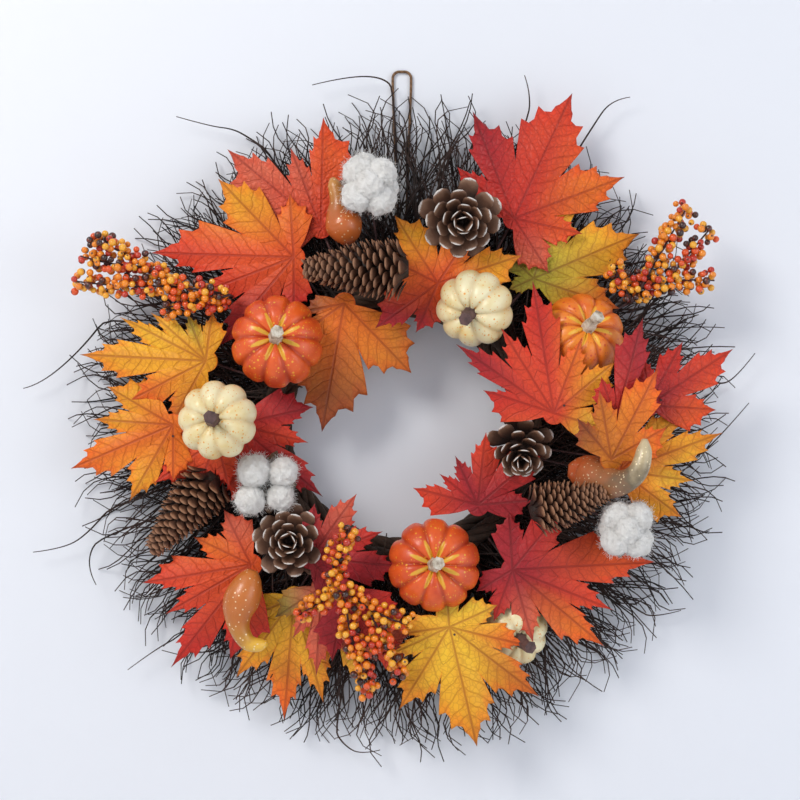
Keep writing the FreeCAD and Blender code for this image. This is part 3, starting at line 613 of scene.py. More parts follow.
# node: (hub, print at the hub, forward curl of the tips, tilt towards the right and the top, then the lobes as
# (angle, length, print at the tip))
LEAVES = {
    "leaf_top_left_salmon": ((-65.6, 162.4), "scarlet", -6, (0.02, -0.05), (140, 100, "salmon"),
        (111, 71, "salmon"), (89, 90, "flame"), (191, 80, "pink")),
    "leaf_top_left_orange": ((-87.2, 137.6), "flame", -5, (0.04, 0.0), (178, 116, "scarlet"),
        (134, 89, "gold"), (230, 94, "crimson"), (94, 52, "orange"), (201, 83, "scarlet"), (270, 45, "red")),
    "leaf_top_inner_amber": ((-46.4, 100.0), "orange", -7, (0.0, 0.03), (260, 105, "brown"),
        (314, 78, "amber"), (215, 60, "amber"), (191, 34, "brown")),
    "leaf_top_curled": ((28.8, 116.0), "flame", 9, (0.0, -0.04), (123, 64, "gold"), (57, 46, "orange"),
        (18, 70, "gold"), (216, 62, "crimson"), (246, 44, "crimson"), (154, 56, "orange")),
    "leaf_top_right_red": ((90.4, 168.8), "red", -8, (-0.03, -0.04), (65, 114, "scarlet"),
        (111, 93, "crimson"), (21, 97, "orange"), (-12, 57, "flame"), (-57, 52, "salmon"), (138, 62, "red")),
    "leaf_top_right_yellow": ((106.4, 120.8), "green", -6, (-0.03, 0.0), (23, 95, "gold"), (-19, 74, "amber"),
        (70, 75, "yellow"), (135, 30, "olive"), (-156, 22, "green")),
    "leaf_right_inner_red": ((120.0, 12.0), "scarlet", 7, (0.0, -0.03), (99, 106, "red"),
        (145, 95, "crimson"), (40, 63, "gold"), (122, 80, "scarlet"), (162, 59, "red"), (-17, 43, "yellow"),
        (70, 64, "orange")),
    "leaf_right_narrow_red": ((168.0, 6.4), "red", -5, (0.0, 0.02), (75, 84, "crimson"), (48, 40, "crimson"),
        (108, 36, "red")),
    "leaf_right_outer_red": ((194.4, 18.4), "crimson", -9, (-0.06, 0.0), (33, 82, "scarlet"), (61, 58, "red"),
        (-4, 55, "flame"), (95, 40, "red")),
    "leaf_right_amber": ((164.0, -24.0), "amber", 5, (0.0, -0.02), (63, 80, "orange"), (100, 55, "amber"),
        (130, 42, "brown"), (30, 50, "orange")),
    "leaf_right_gold": ((172.8, -33.6), "orange", -6, (-0.05, 0.0), (20, 88, "gold"), (43, 72, "gold"),
        (-8, 60, "yellow"), (-37, 62, "gold"), (78, 40, "amber")),
    "leaf_lower_right_crimson": ((88.0, -112.8), "crimson", -5, (-0.04, 0.03), (3, 114, "flame"),
        (-40, 97, "orange"), (-74, 61, "salmon"), (-22, 87, "scarlet"), (50, 60, "red"), (93, 46, "crimson"),
        (-149, 34, "crimson"), (-110, 44, "red")),
    "leaf_right_inner_low": ((60.8, -61.6), "crimson", 5, (0.0, 0.03), (84, 59, "scarlet"), (40, 70, "red"),
        (141, 40, "red"), (165, 54, "scarlet"), (115, 44, "crimson"), (5, 44, "crimson")),
    "leaf_bottom_gold": ((37.6, -157.6), "yellow", -5, (0.0, 0.05), (-77, 99, "gold"), (-38, 91, "amber"),
        (-121, 77, "gold"), (-14, 64, "orange"), (188, 40, "gold"), (24, 42, "yellow"), (-155, 52, "yellow"),
        (95, 30, "green")),
    "leaf_lower_left_orange": ((-121.6, -110.4), "flame", -6, (0.04, 0.03), (232, 107, "red"),
        (190, 91, "scarlet"), (257, 80, "red"), (210, 81, "scarlet"), (155, 52, "orange"),
        (117, 50, "salmon")),
    "leaf_lower_left_yellow": ((-87.2, -137.6), "yellow", -6, (0.02, 0.04), (265, 101, "orange"),
        (234, 82, "gold"), (285, 90, "gold"), (204, 44, "gold"), (312, 50, "orange")),
    "leaf_bottom_salmon": ((-64.0, -128.0), "salmon", -3, (0.0, 0.03), (266, 72, "salmon"),
        (213, 46, "olive"), (315, 97, "pink"), (240, 48, "salmon"), (290, 62, "salmon")),
    "leaf_bottom_crimson": ((-45.6, -129.6), "crimson", -4, (0.0, 0.03), (260, 58, "crimson"),
        (303, 86, "scarlet"), (330, 52, "red"), (282, 60, "maroon")),
    "leaf_bottom_yellow": ((-53.6, -145.6), "gold", -3, (0.0, 0.0), (290, 66, "yellow"), (262, 44, "gold"),
        (318, 44, "gold")),
    "leaf_inner_low_crimson": ((-73.6, -104.0), "crimson", 4, (0.0, 0.0), (-5, 75, "crimson"),
        (54, 64, "salmon"), (20, 62, "red"), (-50, 50, "maroon"), (85, 44, "crimson")),
    "leaf_left_inner_red": ((-133.6, 2.4), "red", 3, (0.02, 0.0), (-40, 91, "crimson"), (13, 64, "crimson"),
        (-88, 75, "scarlet"), (248, 69, "red"), (-14, 60, "scarlet"), (-64, 76, "red")),
    "leaf_left_gold": ((-156.8, 53.6), "gold", -8, (0.05, 0.0), (177, 103, "gold"), (139, 60, "yellow"),
        (207, 70, "orange"), (153, 78, "yellow"), (83, 40, "gold"), (241, 61, "amber"), (112, 42, "green")),
    "leaf_left_outer_gold": ((-184.0, 2.4), "orange", -6, (0.04, 0.02), (203, 91, "orange"),
        (150, 62, "gold"), (240, 71, "gold"), (176, 65, "gold"), (270, 46, "orange")),
    "leaf_left_low_orange": ((-149.6, -9.6), "flame", 4, (0.02, 0.0), (215, 61, "scarlet"),
        (180, 50, "flame"), (250, 50, "red"), (285, 40, "scarlet")),
}
EMBOSSED = ("leaf_top_left_salmon", "leaf_top_right_red", "leaf_right_outer_red")
# The plain heel of a leaf: its radius, and where it starts past a lobe, in degrees.
HEEL = 9.0
HEEL_START = 38.0
HEEL_STEP = 25.0
# Gaps between lobes that are wider than this have the heel in them instead of a valley.
WIDE_GAP = 95
# Half of a lobe as a share of the gap, and at most in degrees; its teeth as shares of that and of its length.
LOBE_SHARE = 0.45
LOBE_WIDEST = 28.0
TEETH = ((0.05, 0.945), (0.15, 0.885), (0.22, 0.865), (0.27, 0.815), (0.44, 0.805), (0.60, 0.835),
         (0.64, 0.735), (0.78, 0.70), (0.99, 0.725), (1.04, 0.60))
VEIN_PITCH = 10.5
VEIN_SLANT = 0.8
RING_SHARES = (0.0, 0.10, 0.24, 0.38, 0.52, 0.65, 0.77, 0.87, 0.95, 1.0)
FOLD = 0.22
LEAF_THICK = 0.5


def lobe_edge(length, gap, side):
    """Toothed edge of half a lobe, from its tip towards the valley: (turn from the lobe, radius)."""
    wide = min(LOBE_SHARE * gap, LOBE_WIDEST)
    return [(side * wide * turn, length * radius) for turn, radius in TEETH]


def leaf_edge(lobes):
    """The whole edge as (angle, radius), in order of angle, with every lobe's tip on it."""
    edge = []
    for index, (angle, length, _) in enumerate(lobes):
        gap_before = (angle - lobes[index - 1][0]) % 360 or 360
        next_angle, next_length, _ = lobes[(index + 1) % len(lobes)]
        gap = (next_angle - angle) % 360 or 360
        edge += [(angle + turn, radius) for turn, radius in reversed(lobe_edge(length, gap_before, -1))]
        edge.append((angle, length))
        edge += [(angle + turn, radius) for turn, radius in lobe_edge(length, gap, 1)]
        if gap < WIDE_GAP:
            share = 0.70 - 0.25 * min(1.0, gap / 60)
            edge.append((angle + gap / 2, max(HEEL, share * min(length, next_length))))
        else:
            steps = int((gap - 2 * HEEL_START) // HEEL_STEP) + 1
            edge += [(angle + HEEL_START + (gap - 2 * HEEL_START) * step / steps, HEEL)
                for step in range(steps + 1)]
    return edge


def between_lobes(lobes, angle):
    """The lobes on each side of an angle, and the share of the way from the first to the second."""
    for index, lobe in enumerate(lobes):
        after = lobes[(index + 1) % len(lobes)]
        gap = (after[0] - lobe[0]) % 360 or 360
        turn = (angle - lobe[0]) % 360
        if turn <= gap + 1e-6:
            return lobe, after, turn / gap, gap
    return lobes[0], lobes[0], 0.0, 360


def mark(mesh, name, values):
    """A number on each point of a mesh, which its material reads."""
    mesh.attributes.new(name, "FLOAT", "POINT").data.foreach_set("value", values)


def leaf_mesh(name, hub, hub_colour, lobes, curl, tilt, depth):
    lobes = sorted((angle % 360, length, colour) for angle, length, colour in lobes)
    seed = sum(map(ord, name))
    edge = leaf_edge(lobes)
    fine_edge = []
    for (angle, radius), (next_angle, next_radius) in zip(edge, edge[1:] + edge[:1]):
        run = (next_angle - angle) % 360
        steps = max(1, ceil(max(run / 5, abs(next_radius - radius) / 9)))
        fine_edge += [(angle + run * step / steps, radius + (next_radius - radius) * step / steps)
            for step in range(steps)]
    verts, tints, shares, flat = [], [], [], []
    for share in RING_SHARES:
        for angle, radius in fine_edge if share else fine_edge[:1]:
            first, second, way, gap = between_lobes(lobes, angle)
            easy = way * way * (3 - 2 * way)
            off = radians(way * gap if way < 0.5 else (1 - way) * gap)
            reach = share * radius
            across = reach * sin(min(off, pi / 2))
            along = reach * cos(off)
            length = first[1] * (1 - easy) + second[1] * easy
            turn = radians(angle)
            x, z = reach * cos(turn), reach * sin(turn)
            curls = [curl * (0.5 + noise.noise(Vector((seed * 0.37, lobe[0] * 0.11, 0.5))))
                for lobe in (first, second)]
            rise = (curls[0] * (1 - easy) + curls[1] * easy) * (reach / length) ** 2
            rise -= FOLD * across * (1 - 0.35 * across / max(reach, 1))
            rise += 4.5 * noise.noise(Vector((x * 0.035 + seed, z * 0.035, 0.0))) * share
            rise += (tilt[0] * x + tilt[1] * z)
            verts.append(at(hub[0] + x, hub[1] + z, depth + rise))
            tip_mix = [a * (1 - easy) + b * easy for a, b in zip(PRINT[first[2]], PRINT[second[2]])]
            fade = min(1.0, max(0.0, (reach / length - 0.12) / 0.62))
            tints.append([a * (1 - fade) + b * fade for a, b in zip(PRINT[hub_colour], tip_mix)] + [1.0])
            shares.append(share)
            flat.append((across / 100, along / 100))
    count = len(fine_edge)
    faces = [(0, 1 + (side + 1) % count, 1 + side) for side in range(count)]
    for ring in range(len(RING_SHARES) - 2):
        faces += band(1 + ring * count, 1 + (ring + 1) * count, count)
    mesh = plain_mesh(name, verts, faces)
    uv = mesh.uv_layers.new(name="veins")
    for loop in mesh.loops:
        uv.data[loop.index].uv = flat[loop.vertex_index]
    tint = mesh.attributes.new("print", "FLOAT_COLOR", "POINT")
    tint.data.foreach_set("color", [part for colour in tints for part in colour])
    mark(mesh, "rim", shares)
    return mesh


def attribute(tree, name, output="Fac"):
    return node(tree, "ShaderNodeAttribute", attribute_name=name).outputs[output]


def smooth_step(value, low, high):
    made = node(value.id_data, "ShaderNodeMapRange", {"Value": value}, {"From Min": low, "From Max": high},
        interpolation_type="SMOOTHSTEP")
    return made.outputs["Result"]


def leaf_material(name, cell_depth):
    material, tree, shader = new_material(name, Roughness=0.52, Specular_IOR_Level=0.35, Sheen_Weight=0.12,
        Sheen_Roughness=0.5)
    veins = node(tree, "ShaderNodeUVMap", uv_map="veins").outputs["UV"]
    parts = node(tree, "ShaderNodeSeparateXYZ", {"Vector": veins})
    across = times(parts.outputs["X"], 100.0)
    along = times(parts.outputs["Y"], 100.0)
    rim = attribute(tree, "rim")
    tint = attribute(tree, "print", "Color")
    main = one_less(smooth_step(across, 0.2, 1.3))
    slant = maths("DIVIDE", minus(along, times(across, VEIN_SLANT)), VEIN_PITCH)
    coarse, fine = mottled(tree, 38, 1500)
    slant = plus(slant, times(coarse, 1.3))
    place_in_pitch = maths("ABSOLUTE", minus(maths("FRACT", slant), 0.5))
    side = one_less(smooth_step(place_in_pitch, 0.02, 0.10))
    place = object_place(tree)
    cells = node(tree, "ShaderNodeTexVoronoi", {"Vector": place}, {"Scale": 230.0}, feature="DISTANCE_TO_EDGE")
    net = one_less(smooth_step(cells.outputs["Distance"], 0.01, 0.14))
    veined = maths("MAXIMUM", main, times(side, 0.55))
    lined = maths("MAXIMUM", veined, times(net, 0.42))
    blotch = smooth_step(coarse, 0.40, 0.68)
    warm = mix(tree, 1.0, tint, (1.15, 0.55, 0.35), "MULTIPLY")
    bright = mix(tree, 1.0, tint, (1.10, 1.22, 1.10), "MULTIPLY")
    colour = mix(tree, times(blotch, 0.55), bright, tint)
    colour = mix(tree, times(smooth_step(rim, 0.78, 1.0), 0.55), colour, warm)
    wash = one_less(smooth_step(across, 0.0, 9.0))
    wash = times(times(wash, fine), 0.75)
    colour = mix(tree, wash, colour, mix(tree, 1.0, tint, (0.80, 0.50, 0.50), "MULTIPLY"))
    dark = mix(tree, 1.0, tint, (0.42, 0.20, 0.20), "MULTIPLY")
    colour = mix(tree, times(lined, 0.62), colour, dark)
    paint(shader, colour)
    raised = minus(times(cells.outputs["Distance"], cell_depth), times(veined, 0.9))
    raised = plus(raised, times(fine, 0.12))
    bump(shader, raised, 0.75, 0.0011)
    return material


leaf_print = leaf_material("leaf_print", 0.7)
leaf_emboss = leaf_material("leaf_emboss", 2.4)
for name, (hub, hub_colour, curl, tilt, *lobes) in LEAVES.items():
    mesh = leaf_mesh(name, hub, hub_colour, lobes, curl, tilt, depth_of(name))
    material = leaf_emboss if name in EMBOSSED else leaf_print
    leaf = finish_piece(name + "_cloth", mesh, material, [name])
    wall = leaf.modifiers.new("thickness", "SOLIDIFY")
    wall.thickness = LEAF_THICK * MM
    wall.offset = 0.0

# ---- Pumpkins: carved light foam, ribbed, with a dimple at each end. Each is sprayed orange or cream, the
# orange ones brushed with a star of yellow strokes round the stem, and all are flicked with a second colour.
# name: (place, direction and angle of the stem's tilt, ribs, is cream, turn of the ribs)
PUMPKINS = {
    "pumpkin_1": ((-99.2, 68.8), 90, 8, 10, False, 4), "pumpkin_2": ((144.8, 74.4), 60, 22, 10, False, 15),
    "pumpkin_3": ((25.6, -108.8), 90, 5, 10, False, 9), "pumpkin_4": ((58.0, 95.2), 225, 25, 9, True, 0),
    "pumpkin_5": ((-144.8, 6.4), 160, 8, 9, True, 11), "pumpkin_6": ((90.4, -165.6), -45, 20, 9, True, 5),
}
RIB_DEPTH = 0.075
# How narrow the grooves between the ribs are.
ORANGE_GROOVE = 2.0
CREAM_GROOVE = 1.35
PUMPKIN_SQUAT = 0.75
STALK_RADII = (7.0, 5.0, 4.4, 5.4)
STALK_SIDES = 6
PUMPKIN_SIDES = 140
PUMPKIN_RINGS = 44
pumpkin_widths = {"pumpkin_1": 74, "pumpkin_2": 69, "pumpkin_3": 74, "pumpkin_4": 62, "pumpkin_5": 63,
    "pumpkin_6": 56}


def facing_turn(direction, tilt):
    """Turns +Z to the front, tilted towards a direction in the wreath's plane."""
    lean, way = radians(tilt), radians(direction)
    front = Vector((sin(lean) * cos(way), -cos(lean), sin(lean) * sin(way)))
    return front, front.to_track_quat("Z", "Y").to_matrix().to_4x4()


def pumpkin_mesh(name, ribs, first_rib, sharpness):
    half = pumpkin_widths[name] / 2 * MM
    seed = pumpkin_widths[name] + len(name)
    verts, strokes = [], []
    for ring in range(PUMPKIN_RINGS + 1):
        share = ring / PUMPKIN_RINGS
        rise = pi * share
        for side in range(PUMPKIN_SIDES):
            turn = CIRCLE * side / PUMPKIN_SIDES
            phase = turn * ribs / 2 + radians(first_rib)
            uneven = 0.025 * noise.noise(Vector((cos(turn) * 1.7, sin(turn) * 1.7, seed)))
            groove = (1 - abs(sin(phase))) ** sharpness
            reach = half * sin(rise) ** 0.86 * (1 + uneven - RIB_DEPTH * 1.5 * groove * sin(rise))
            dimple = 0.30 * exp(-((reach / half) / 0.34) ** 2)
            height = half * PUMPKIN_SQUAT * cos(rise) * (1.02 - dimple - 0.10 * groove)
            verts.append(Vector((reach * cos(turn), reach * sin(turn), height)))
            strokes.append((side / PUMPKIN_SIDES, share, groove))
    faces = []
    for ring in range(PUMPKIN_RINGS):
        for side in range(PUMPKIN_SIDES):
            after = (side + 1) % PUMPKIN_SIDES
            low, high = ring * PUMPKIN_SIDES, (ring + 1) * PUMPKIN_SIDES
            faces.append((low + side, high + side, high + after, low + after))
    mesh = plain_mesh(name, verts, faces)
    uv = mesh.uv_layers.new(name="ribs")
    for polygon in mesh.polygons:
        for loop_index in polygon.loop_indices:
            across, share, _ = strokes[mesh.loops[loop_index].vertex_index]
            if across == 0 and polygon.index % PUMPKIN_SIDES == PUMPKIN_SIDES - 1:
                across = 1.0
            uv.data[loop_index].uv = (across, share)
    mark(mesh, "groove", [stroke[2] for stroke in strokes])
    welder = bmesh.new()
    welder.from_mesh(mesh)
    bmesh.ops.remove_doubles(welder, verts=welder.verts, dist=0.00002)
    welder.to_mesh(mesh)
    welder.free()
    return mesh


def flecks(tree, scale, full, faded, left_out):
    """A mask of round flecks, full and faded at these distances, with a share of them left out."""
    spots = node(tree, "ShaderNodeTexVoronoi", {"Vector": object_place(tree)}, {"Scale": scale})
    kind = node(tree, "ShaderNodeSeparateColor", {"Color": spots.outputs["Color"]}).outputs[0]
    spot = one_less(smooth_step(spots.outputs["Distance"], full, faded))
    return times(spot, maths("GREATER_THAN", kind, left_out))


def foam_material(name, base, deep, fleck, star, fleck_share):
    material, tree, shader = new_material(name, Roughness=0.40, Coat_Weight=0.30, Coat_Roughness=0.25,
        Subsurface_Weight=0.06)
    shader.inputs["Subsurface Radius"].default_value = (0.004, 0.002, 0.001)
    coarse, fine = mottled(tree, 45, 700)
    groove = attribute(tree, "groove")
    colour = mix(tree, smooth_step(coarse, 0.35, 0.72), base, deep)
    # Painted shade: the grooves between the ribs are darkened towards a dark brown, less on the cream pumpkins
    # than on the orange ones.
    shade = times(smooth_step(groove, 0.15, 0.9), 0.22 if star is None else 0.6)
    colour = mix(tree, shade, colour, mix(tree, 1.0, deep, (0.62, 0.42, 0.40), "MULTIPLY"))
    ribs = node(tree, "ShaderNodeUVMap", uv_map="ribs").outputs["UV"]
    parts = node(tree, "ShaderNodeSeparateXYZ", {"Vector": ribs})
    if star:
        petal = maths("FRACT", times(parts.outputs["X"], 8.0))
        off = maths("ABSOLUTE", minus(petal, 0.5))
        ragged = times(minus(fine, 0.5), 0.10)
        along = maths("DIVIDE", minus(parts.outputs["Y"], 0.05), 0.13)
        wide = minus(0.28, times(along, 0.22))
        inside = smooth_step(minus(plus(wide, ragged), off), 0.0, 0.07)
        limit = one_less(smooth_step(along, 0.85, 1.02))
        colour = mix(tree, times(times(inside, limit), 0.88), colour, star)
    for scale, size, amount in ((260.0, 0.17, 0.9), (520.0, 0.20, 0.75)):
        flicked = flecks(tree, scale, size, size + 0.12, 1.0 - fleck_share)
        colour = mix(tree, times(flicked, amount), colour, fleck)
    paint(shader, colour)
    bump(shader, plus(times(coarse, 0.6), fine), 0.35, 0.0006)
    return material


orange_foam = foam_material("orange_foam", (0.80, 0.115, 0.012), (0.60, 0.055, 0.010), (0.85, 0.42, 0.03),
    (0.80, 0.46, 0.035), 0.30)
golden_foam = foam_material("golden_foam", (0.88, 0.26, 0.015), (0.78, 0.13, 0.010), (0.62, 0.06, 0.01),
    (0.90, 0.50, 0.04), 0.34)
cream_foam = foam_material("cream_foam", (0.88, 0.80, 0.52), (0.80, 0.62, 0.27), (0.80, 0.34, 0.03), None, 0.34)
stalk_pale = mottled_skin("stalk_pale", (160, 1500), ((0.3, (0.20, 0.14, 0.10)), (0.5, (0.55, 0.48, 0.38)),
    (0.7, (0.78, 0.74, 0.66))), (0.6, 0.0005), Roughness=0.7)
stalk_dark = mottled_skin("stalk_dark", (160, 1500), ((0.3, (0.045, 0.022, 0.022)),
    (0.7, (0.16, 0.085, 0.080))), (0.6, 0.0005), Roughness=0.6)

stalks = {False: [], True: []}
for name, (place, direction, tilt, ribs, is_cream, first_rib) in PUMPKINS.items():
    front, turn = facing_turn(direction, tilt)
    middle = at(*place, depth_of(name))
    mesh = pumpkin_mesh(name, ribs, first_rib, CREAM_GROOVE if is_cream else ORANGE_GROOVE)
    mesh.transform(Matrix.Translation(middle) @ turn)
    foam = cream_foam if is_cream else golden_foam if name == "pumpkin_2" else orange_foam
    finish_piece(name + "_foam", mesh, foam, [name])
    half_height = pumpkin_widths[name] / 2 * PUMPKIN_SQUAT * MM
    bend = turn @ Vector((2.6, 1.2, 0)) * MM
    foot = middle + front * (half_height * 0.62)
    line = [foot, foot + front * 0.010, foot + front * 0.017 + bend * 0.3, foot + front * 0.0235 + bend]
    stalks[is_cream].append(sweep(line, [radius * MM for radius in STALK_RADII], STALK_SIDES))
for is_cream, material, name in ((False, stalk_pale, "pale_stalks"), (True, stalk_dark, "dark_stalks")):
    add_piece(name, joined(stalks[is_cream]), material,
        ["pumpkin_stems"] if is_cream else (), smooth=False)

# ---- Gourds: hollow light foam with a round bulb and a bent swan neck, sprayed in bands of colour and dusted
# with glitter.
# name: (line from the bulb's end to the neck's tip, with what it comes forward, bulb width, print from the bulb
# to the tip)
GOURDS = {
    "gourd_1": (((-43, 147), (-45, 160), (-51, 172), (-50, 184), (-56, 200)), 30,
                ((0.62, 0.15, 0.03), (0.50, 0.12, 0.02), (0.42, 0.14, 0.03), (0.55, 0.24, 0.05))),
    "gourd_2": (((133, -34), (147, -35), (157, -43, 20), (173, -43, 46), (187, -29, 55), (188, -8, 50)), 34,
                ((0.62, 0.12, 0.03), (0.40, 0.14, 0.05), (0.16, 0.12, 0.07), (0.62, 0.50, 0.30))),
    "gourd_3": (((-119, -113), (-123, -126), (-131, -144), (-130, -161), (-120, -175), (-107, -171)), 29,
                ((0.58, 0.17, 0.03), (0.50, 0.14, 0.02), (0.50, 0.22, 0.03), (0.85, 0.50, 0.05))),
}
GOURD_STATIONS = ((0.0, 0.30), (0.05, 0.62), (0.12, 0.85), (0.20, 0.97), (0.28, 1.0), (0.36, 0.93), (0.45, 0.78),
                  (0.55, 0.63), (0.65, 0.54), (0.75, 0.48), (0.86, 0.43), (0.95, 0.36), (1.0, 0.14))
GOURD_SIDES = 20


def gourd_radius(share):
    for (low, low_size), (high, high_size) in zip(GOURD_STATIONS, GOURD_STATIONS[1:]):
        if share <= high:
            way = (share - low) / (high - low)
            return low_size + (high_size - low_size) * way
    return GOURD_STATIONS[-1][1]


def gourd_material(name, colours):
    material, tree, shader = new_material(name, Roughness=0.36, Coat_Weight=0.35, Coat_Roughness=0.2)
    along = attribute(tree, "along")
    coarse, fine = mottled(tree, 90, 900)
    uneven = plus(along, times(minus(coarse, 0.5), 0.35))
    colour = ramp(uneven, *zip((0.10, 0.45, 0.72, 0.96), colours))
    lit = flecks(tree, 360.0, 0.16, 0.30, 0.52)
    paint(shader, mix(tree, times(lit, 0.85), colour, (0.95, 0.80, 0.52)))
    tree.links.new(times(lit, 0.4), shader.inputs["Metallic"])
    bump(shader, fine, 0.35, 0.0005)
    return material


for name, (line, width, colours) in GOURDS.items():
    points = smooth_line([at(x, z, depth_of(name) + sum(forward)) for x, z, *forward in line], 10)
    count = len(points)
    radii = [gourd_radius(index / (count - 1)) * width / 2 * MM for index in range(count)]
    shape = sweep(points, radii, GOURD_SIDES)
    skin = gourd_material(name + "_skin", colours)
    gourd = add_piece(name + "_foam", shape, skin, [name])
    mark(gourd.data, "along", [min(1.0, (index // GOURD_SIDES) / (count - 1))
        for index in range(len(gourd.data.vertices))])

# ---- Cones: real dried spruce cones and opened pine cones. Woody scales stand off a core in a spiral. The spruce
# cones are brown to the tips, and the opened ones have white frosting painted on theirs.
# node: (middle, length, width, direction of the tip)
SPRUCE_CONES = {
    "spruce_cone_1": ((-35.2, 125.6), 86, 44, 180), "spruce_cone_2": ((129, -58), 64, 37, 15),
    "spruce_cone_3": ((-176, -68), 84, 41, 230),
}
# node: (middle of the foot, width, tilt of the crown as (direction, angle), spin)
OPEN_CONES = {
    "open_cone_1": ((47.2, 168.8), 62, (270, 10), 0.4), "open_cone_2": ((94.4, -9.6), 53, (270, 22), 1.9),
    "open_cone_3": ((-88.8, -92.0), 58, (90, 4), 3.0),
}
OPEN_CONE_HEIGHT = 46


def cone_tree():
    """Woody scales in a spiral about +Z: a closed, flattened, bowed shell on each point of the spiral."""
    tree, given = new_geometry_tree("cone_scales", ("Count", "Int", 150), ("Height", "Float", 0.08),
        ("Root Radius", "Float", 0.01), ("Top Radius", "Float", 0.004), ("Belly", "Float", 0.5),
        ("Scale Length", "Float", 0.014), ("Scale Width", "Float", 0.012),
        ("Scale Thickness", "Float", 0.002), ("Bow", "Float", 0.003), ("Low Tilt", "Float", 1.2),
        ("Top Tilt", "Float", 0.4), ("Top Size", "Float", 0.6), ("Material", "Material", None))
    ball = shaped(tree, "MeshUVSphere", None, {"Segments": 10, "Rings": 7, "Radius": 1.0})
    spot = node(tree, "ShaderNodeSeparateXYZ", {"Vector": shaped(tree, "InputPosition")}).outputs
    along = times(plus(spot["Z"], 1.0), 0.5)
    ball = shaped(tree, "StoreNamedAttribute", {"Geometry": ball, "Value": along}, {"Name": "tipness"},
        data_type="FLOAT", domain="POINT")
    widen = plus(times(along, 0.75), 0.40)
    thick = plus(times(maths("POWER", along, 3.0), 1.0), 0.45)
    across = times(times(spot["Y"], widen), times(given["Scale Width"], 0.5))
    through = times(times(spot["X"], thick), times(given["Scale Thickness"], 0.5))
    bowed = times(maths("POWER", along, 2.0), given["Bow"])
    cupped = times(maths("POWER", maths("ABSOLUTE", spot["Y"]), 2.0), -0.0012)
    out = plus(through, plus(bowed, cupped))
    up = times(along, given["Scale Length"])
    shell = shaped(tree, "SetPosition", {"Geometry": ball, "Position": vector(tree, X=out, Y=across, Z=up)})
    index = shaped(tree, "InputIndex")
    share = maths("DIVIDE", plus(index, 0.5), given["Count"])
    line = shaped(tree, "MeshLine", {"Count": given["Count"]})
    angle = times(index, GOLDEN_TURN)
    bulge = times(maths("SINE", times(share, pi)), given["Belly"])
    slope = plus(given["Root Radius"], times(minus(given["Top Radius"], given["Root Radius"]), share))
    radius = times(slope, plus(bulge, 1.0))
    place = vector(tree, X=times(maths("COSINE", angle), radius), Y=times(maths("SINE", angle), radius),
        Z=times(share, given["Height"]))
    line = shaped(tree, "SetPosition", {"Geometry": line, "Position": place})
    drop = times(minus(given["Top Tilt"], given["Low Tilt"]), share)
    tilt = plus(plus(given["Low Tilt"], drop), random_value(tree, -0.09, 0.09, 3))
    turn = vector(tree, X=random_value(tree, -0.08, 0.08, 4), Y=tilt, Z=angle)
    shrink = times(minus(given["Top Size"], 1.0), share)
    size = times(plus(shrink, 1.0), random_value(tree, 0.93, 1.07, 5))
    spiral = shaped(tree, "InstanceOnPoints", {"Points": line, "Instance": shell, "Rotation": turn,
        "Scale": size})
    close_tree(tree, spiral, given["Material"])
    return tree


def cone_material(name, dark, mid, light, frost):
    material, tree, shader = new_material(name, Roughness=0.55)
    tip = attribute(tree, "tipness")
    coarse, fine = mottled(tree, 150, 1300)
    uneven = plus(tip, times(minus(coarse, 0.5), 0.3))
    colour = ramp(uneven, (0.35, dark), (0.72, mid), (0.93, light))
    if frost:
        ragged = plus(tip, times(minus(fine, 0.5), 0.14))
        amount = smooth_step(ragged, 0.90, 0.97)
        colour = mix(tree, times(amount, 0.9), colour, frost)
    paint(shader, colour)
    bump(shader, fine, 0.7, 0.0006)
    return material


cone_spiral = cone_tree()
cone_wood = cone_material("cone_wood", (0.018, 0.008, 0.005), (0.095, 0.036, 0.017), (0.33, 0.160, 0.085), None)
frosted_wood = cone_material("frosted_wood", (0.022, 0.010, 0.007), (0.120, 0.052, 0.028),
    (0.26, 0.14, 0.085), (0.80, 0.77, 0.74))
for number, (name, (place, length, width, direction)) in enumerate(SPRUCE_CONES.items()):
    way = Vector((cos(radians(direction)), 0, sin(radians(direction))))
    scales = run_tree(name, cone_spiral, Count=170, Height=length * 0.86 * MM, Root_Radius=width * 0.22 * MM,
        Top_Radius=width * 0.06 * MM, Belly=0.55, Scale_Length=width * 0.40 * MM,
        Scale_Width=width * 0.31 * MM, Scale_Thickness=0.0016, Bow=0.0016, Low_Tilt=0.95, Top_Tilt=0.42,
        Top_Size=0.66, Material=cone_wood)
    turn = way.to_track_quat("Z", "Y").to_matrix().to_4x4()
    foot = at(*place, depth_of(name)) - way * (length * 0.47 * MM)
    scales.transform(Matrix.Translation(foot) @ turn @ Matrix.Rotation(number * 1.3, 4, "Z"))
    finish_piece(name + "_scales", scales, None, [name])
    line = [foot + way * (length * share * MM) for share in (0.0, 0.12, 0.5, 0.8, 0.9)]
    core = [width * share * MM for share in (0.15, 0.27, 0.30, 0.17, 0.04)]
    add_piece(name + "_core", sweep(line, core, 12), cone_wood)
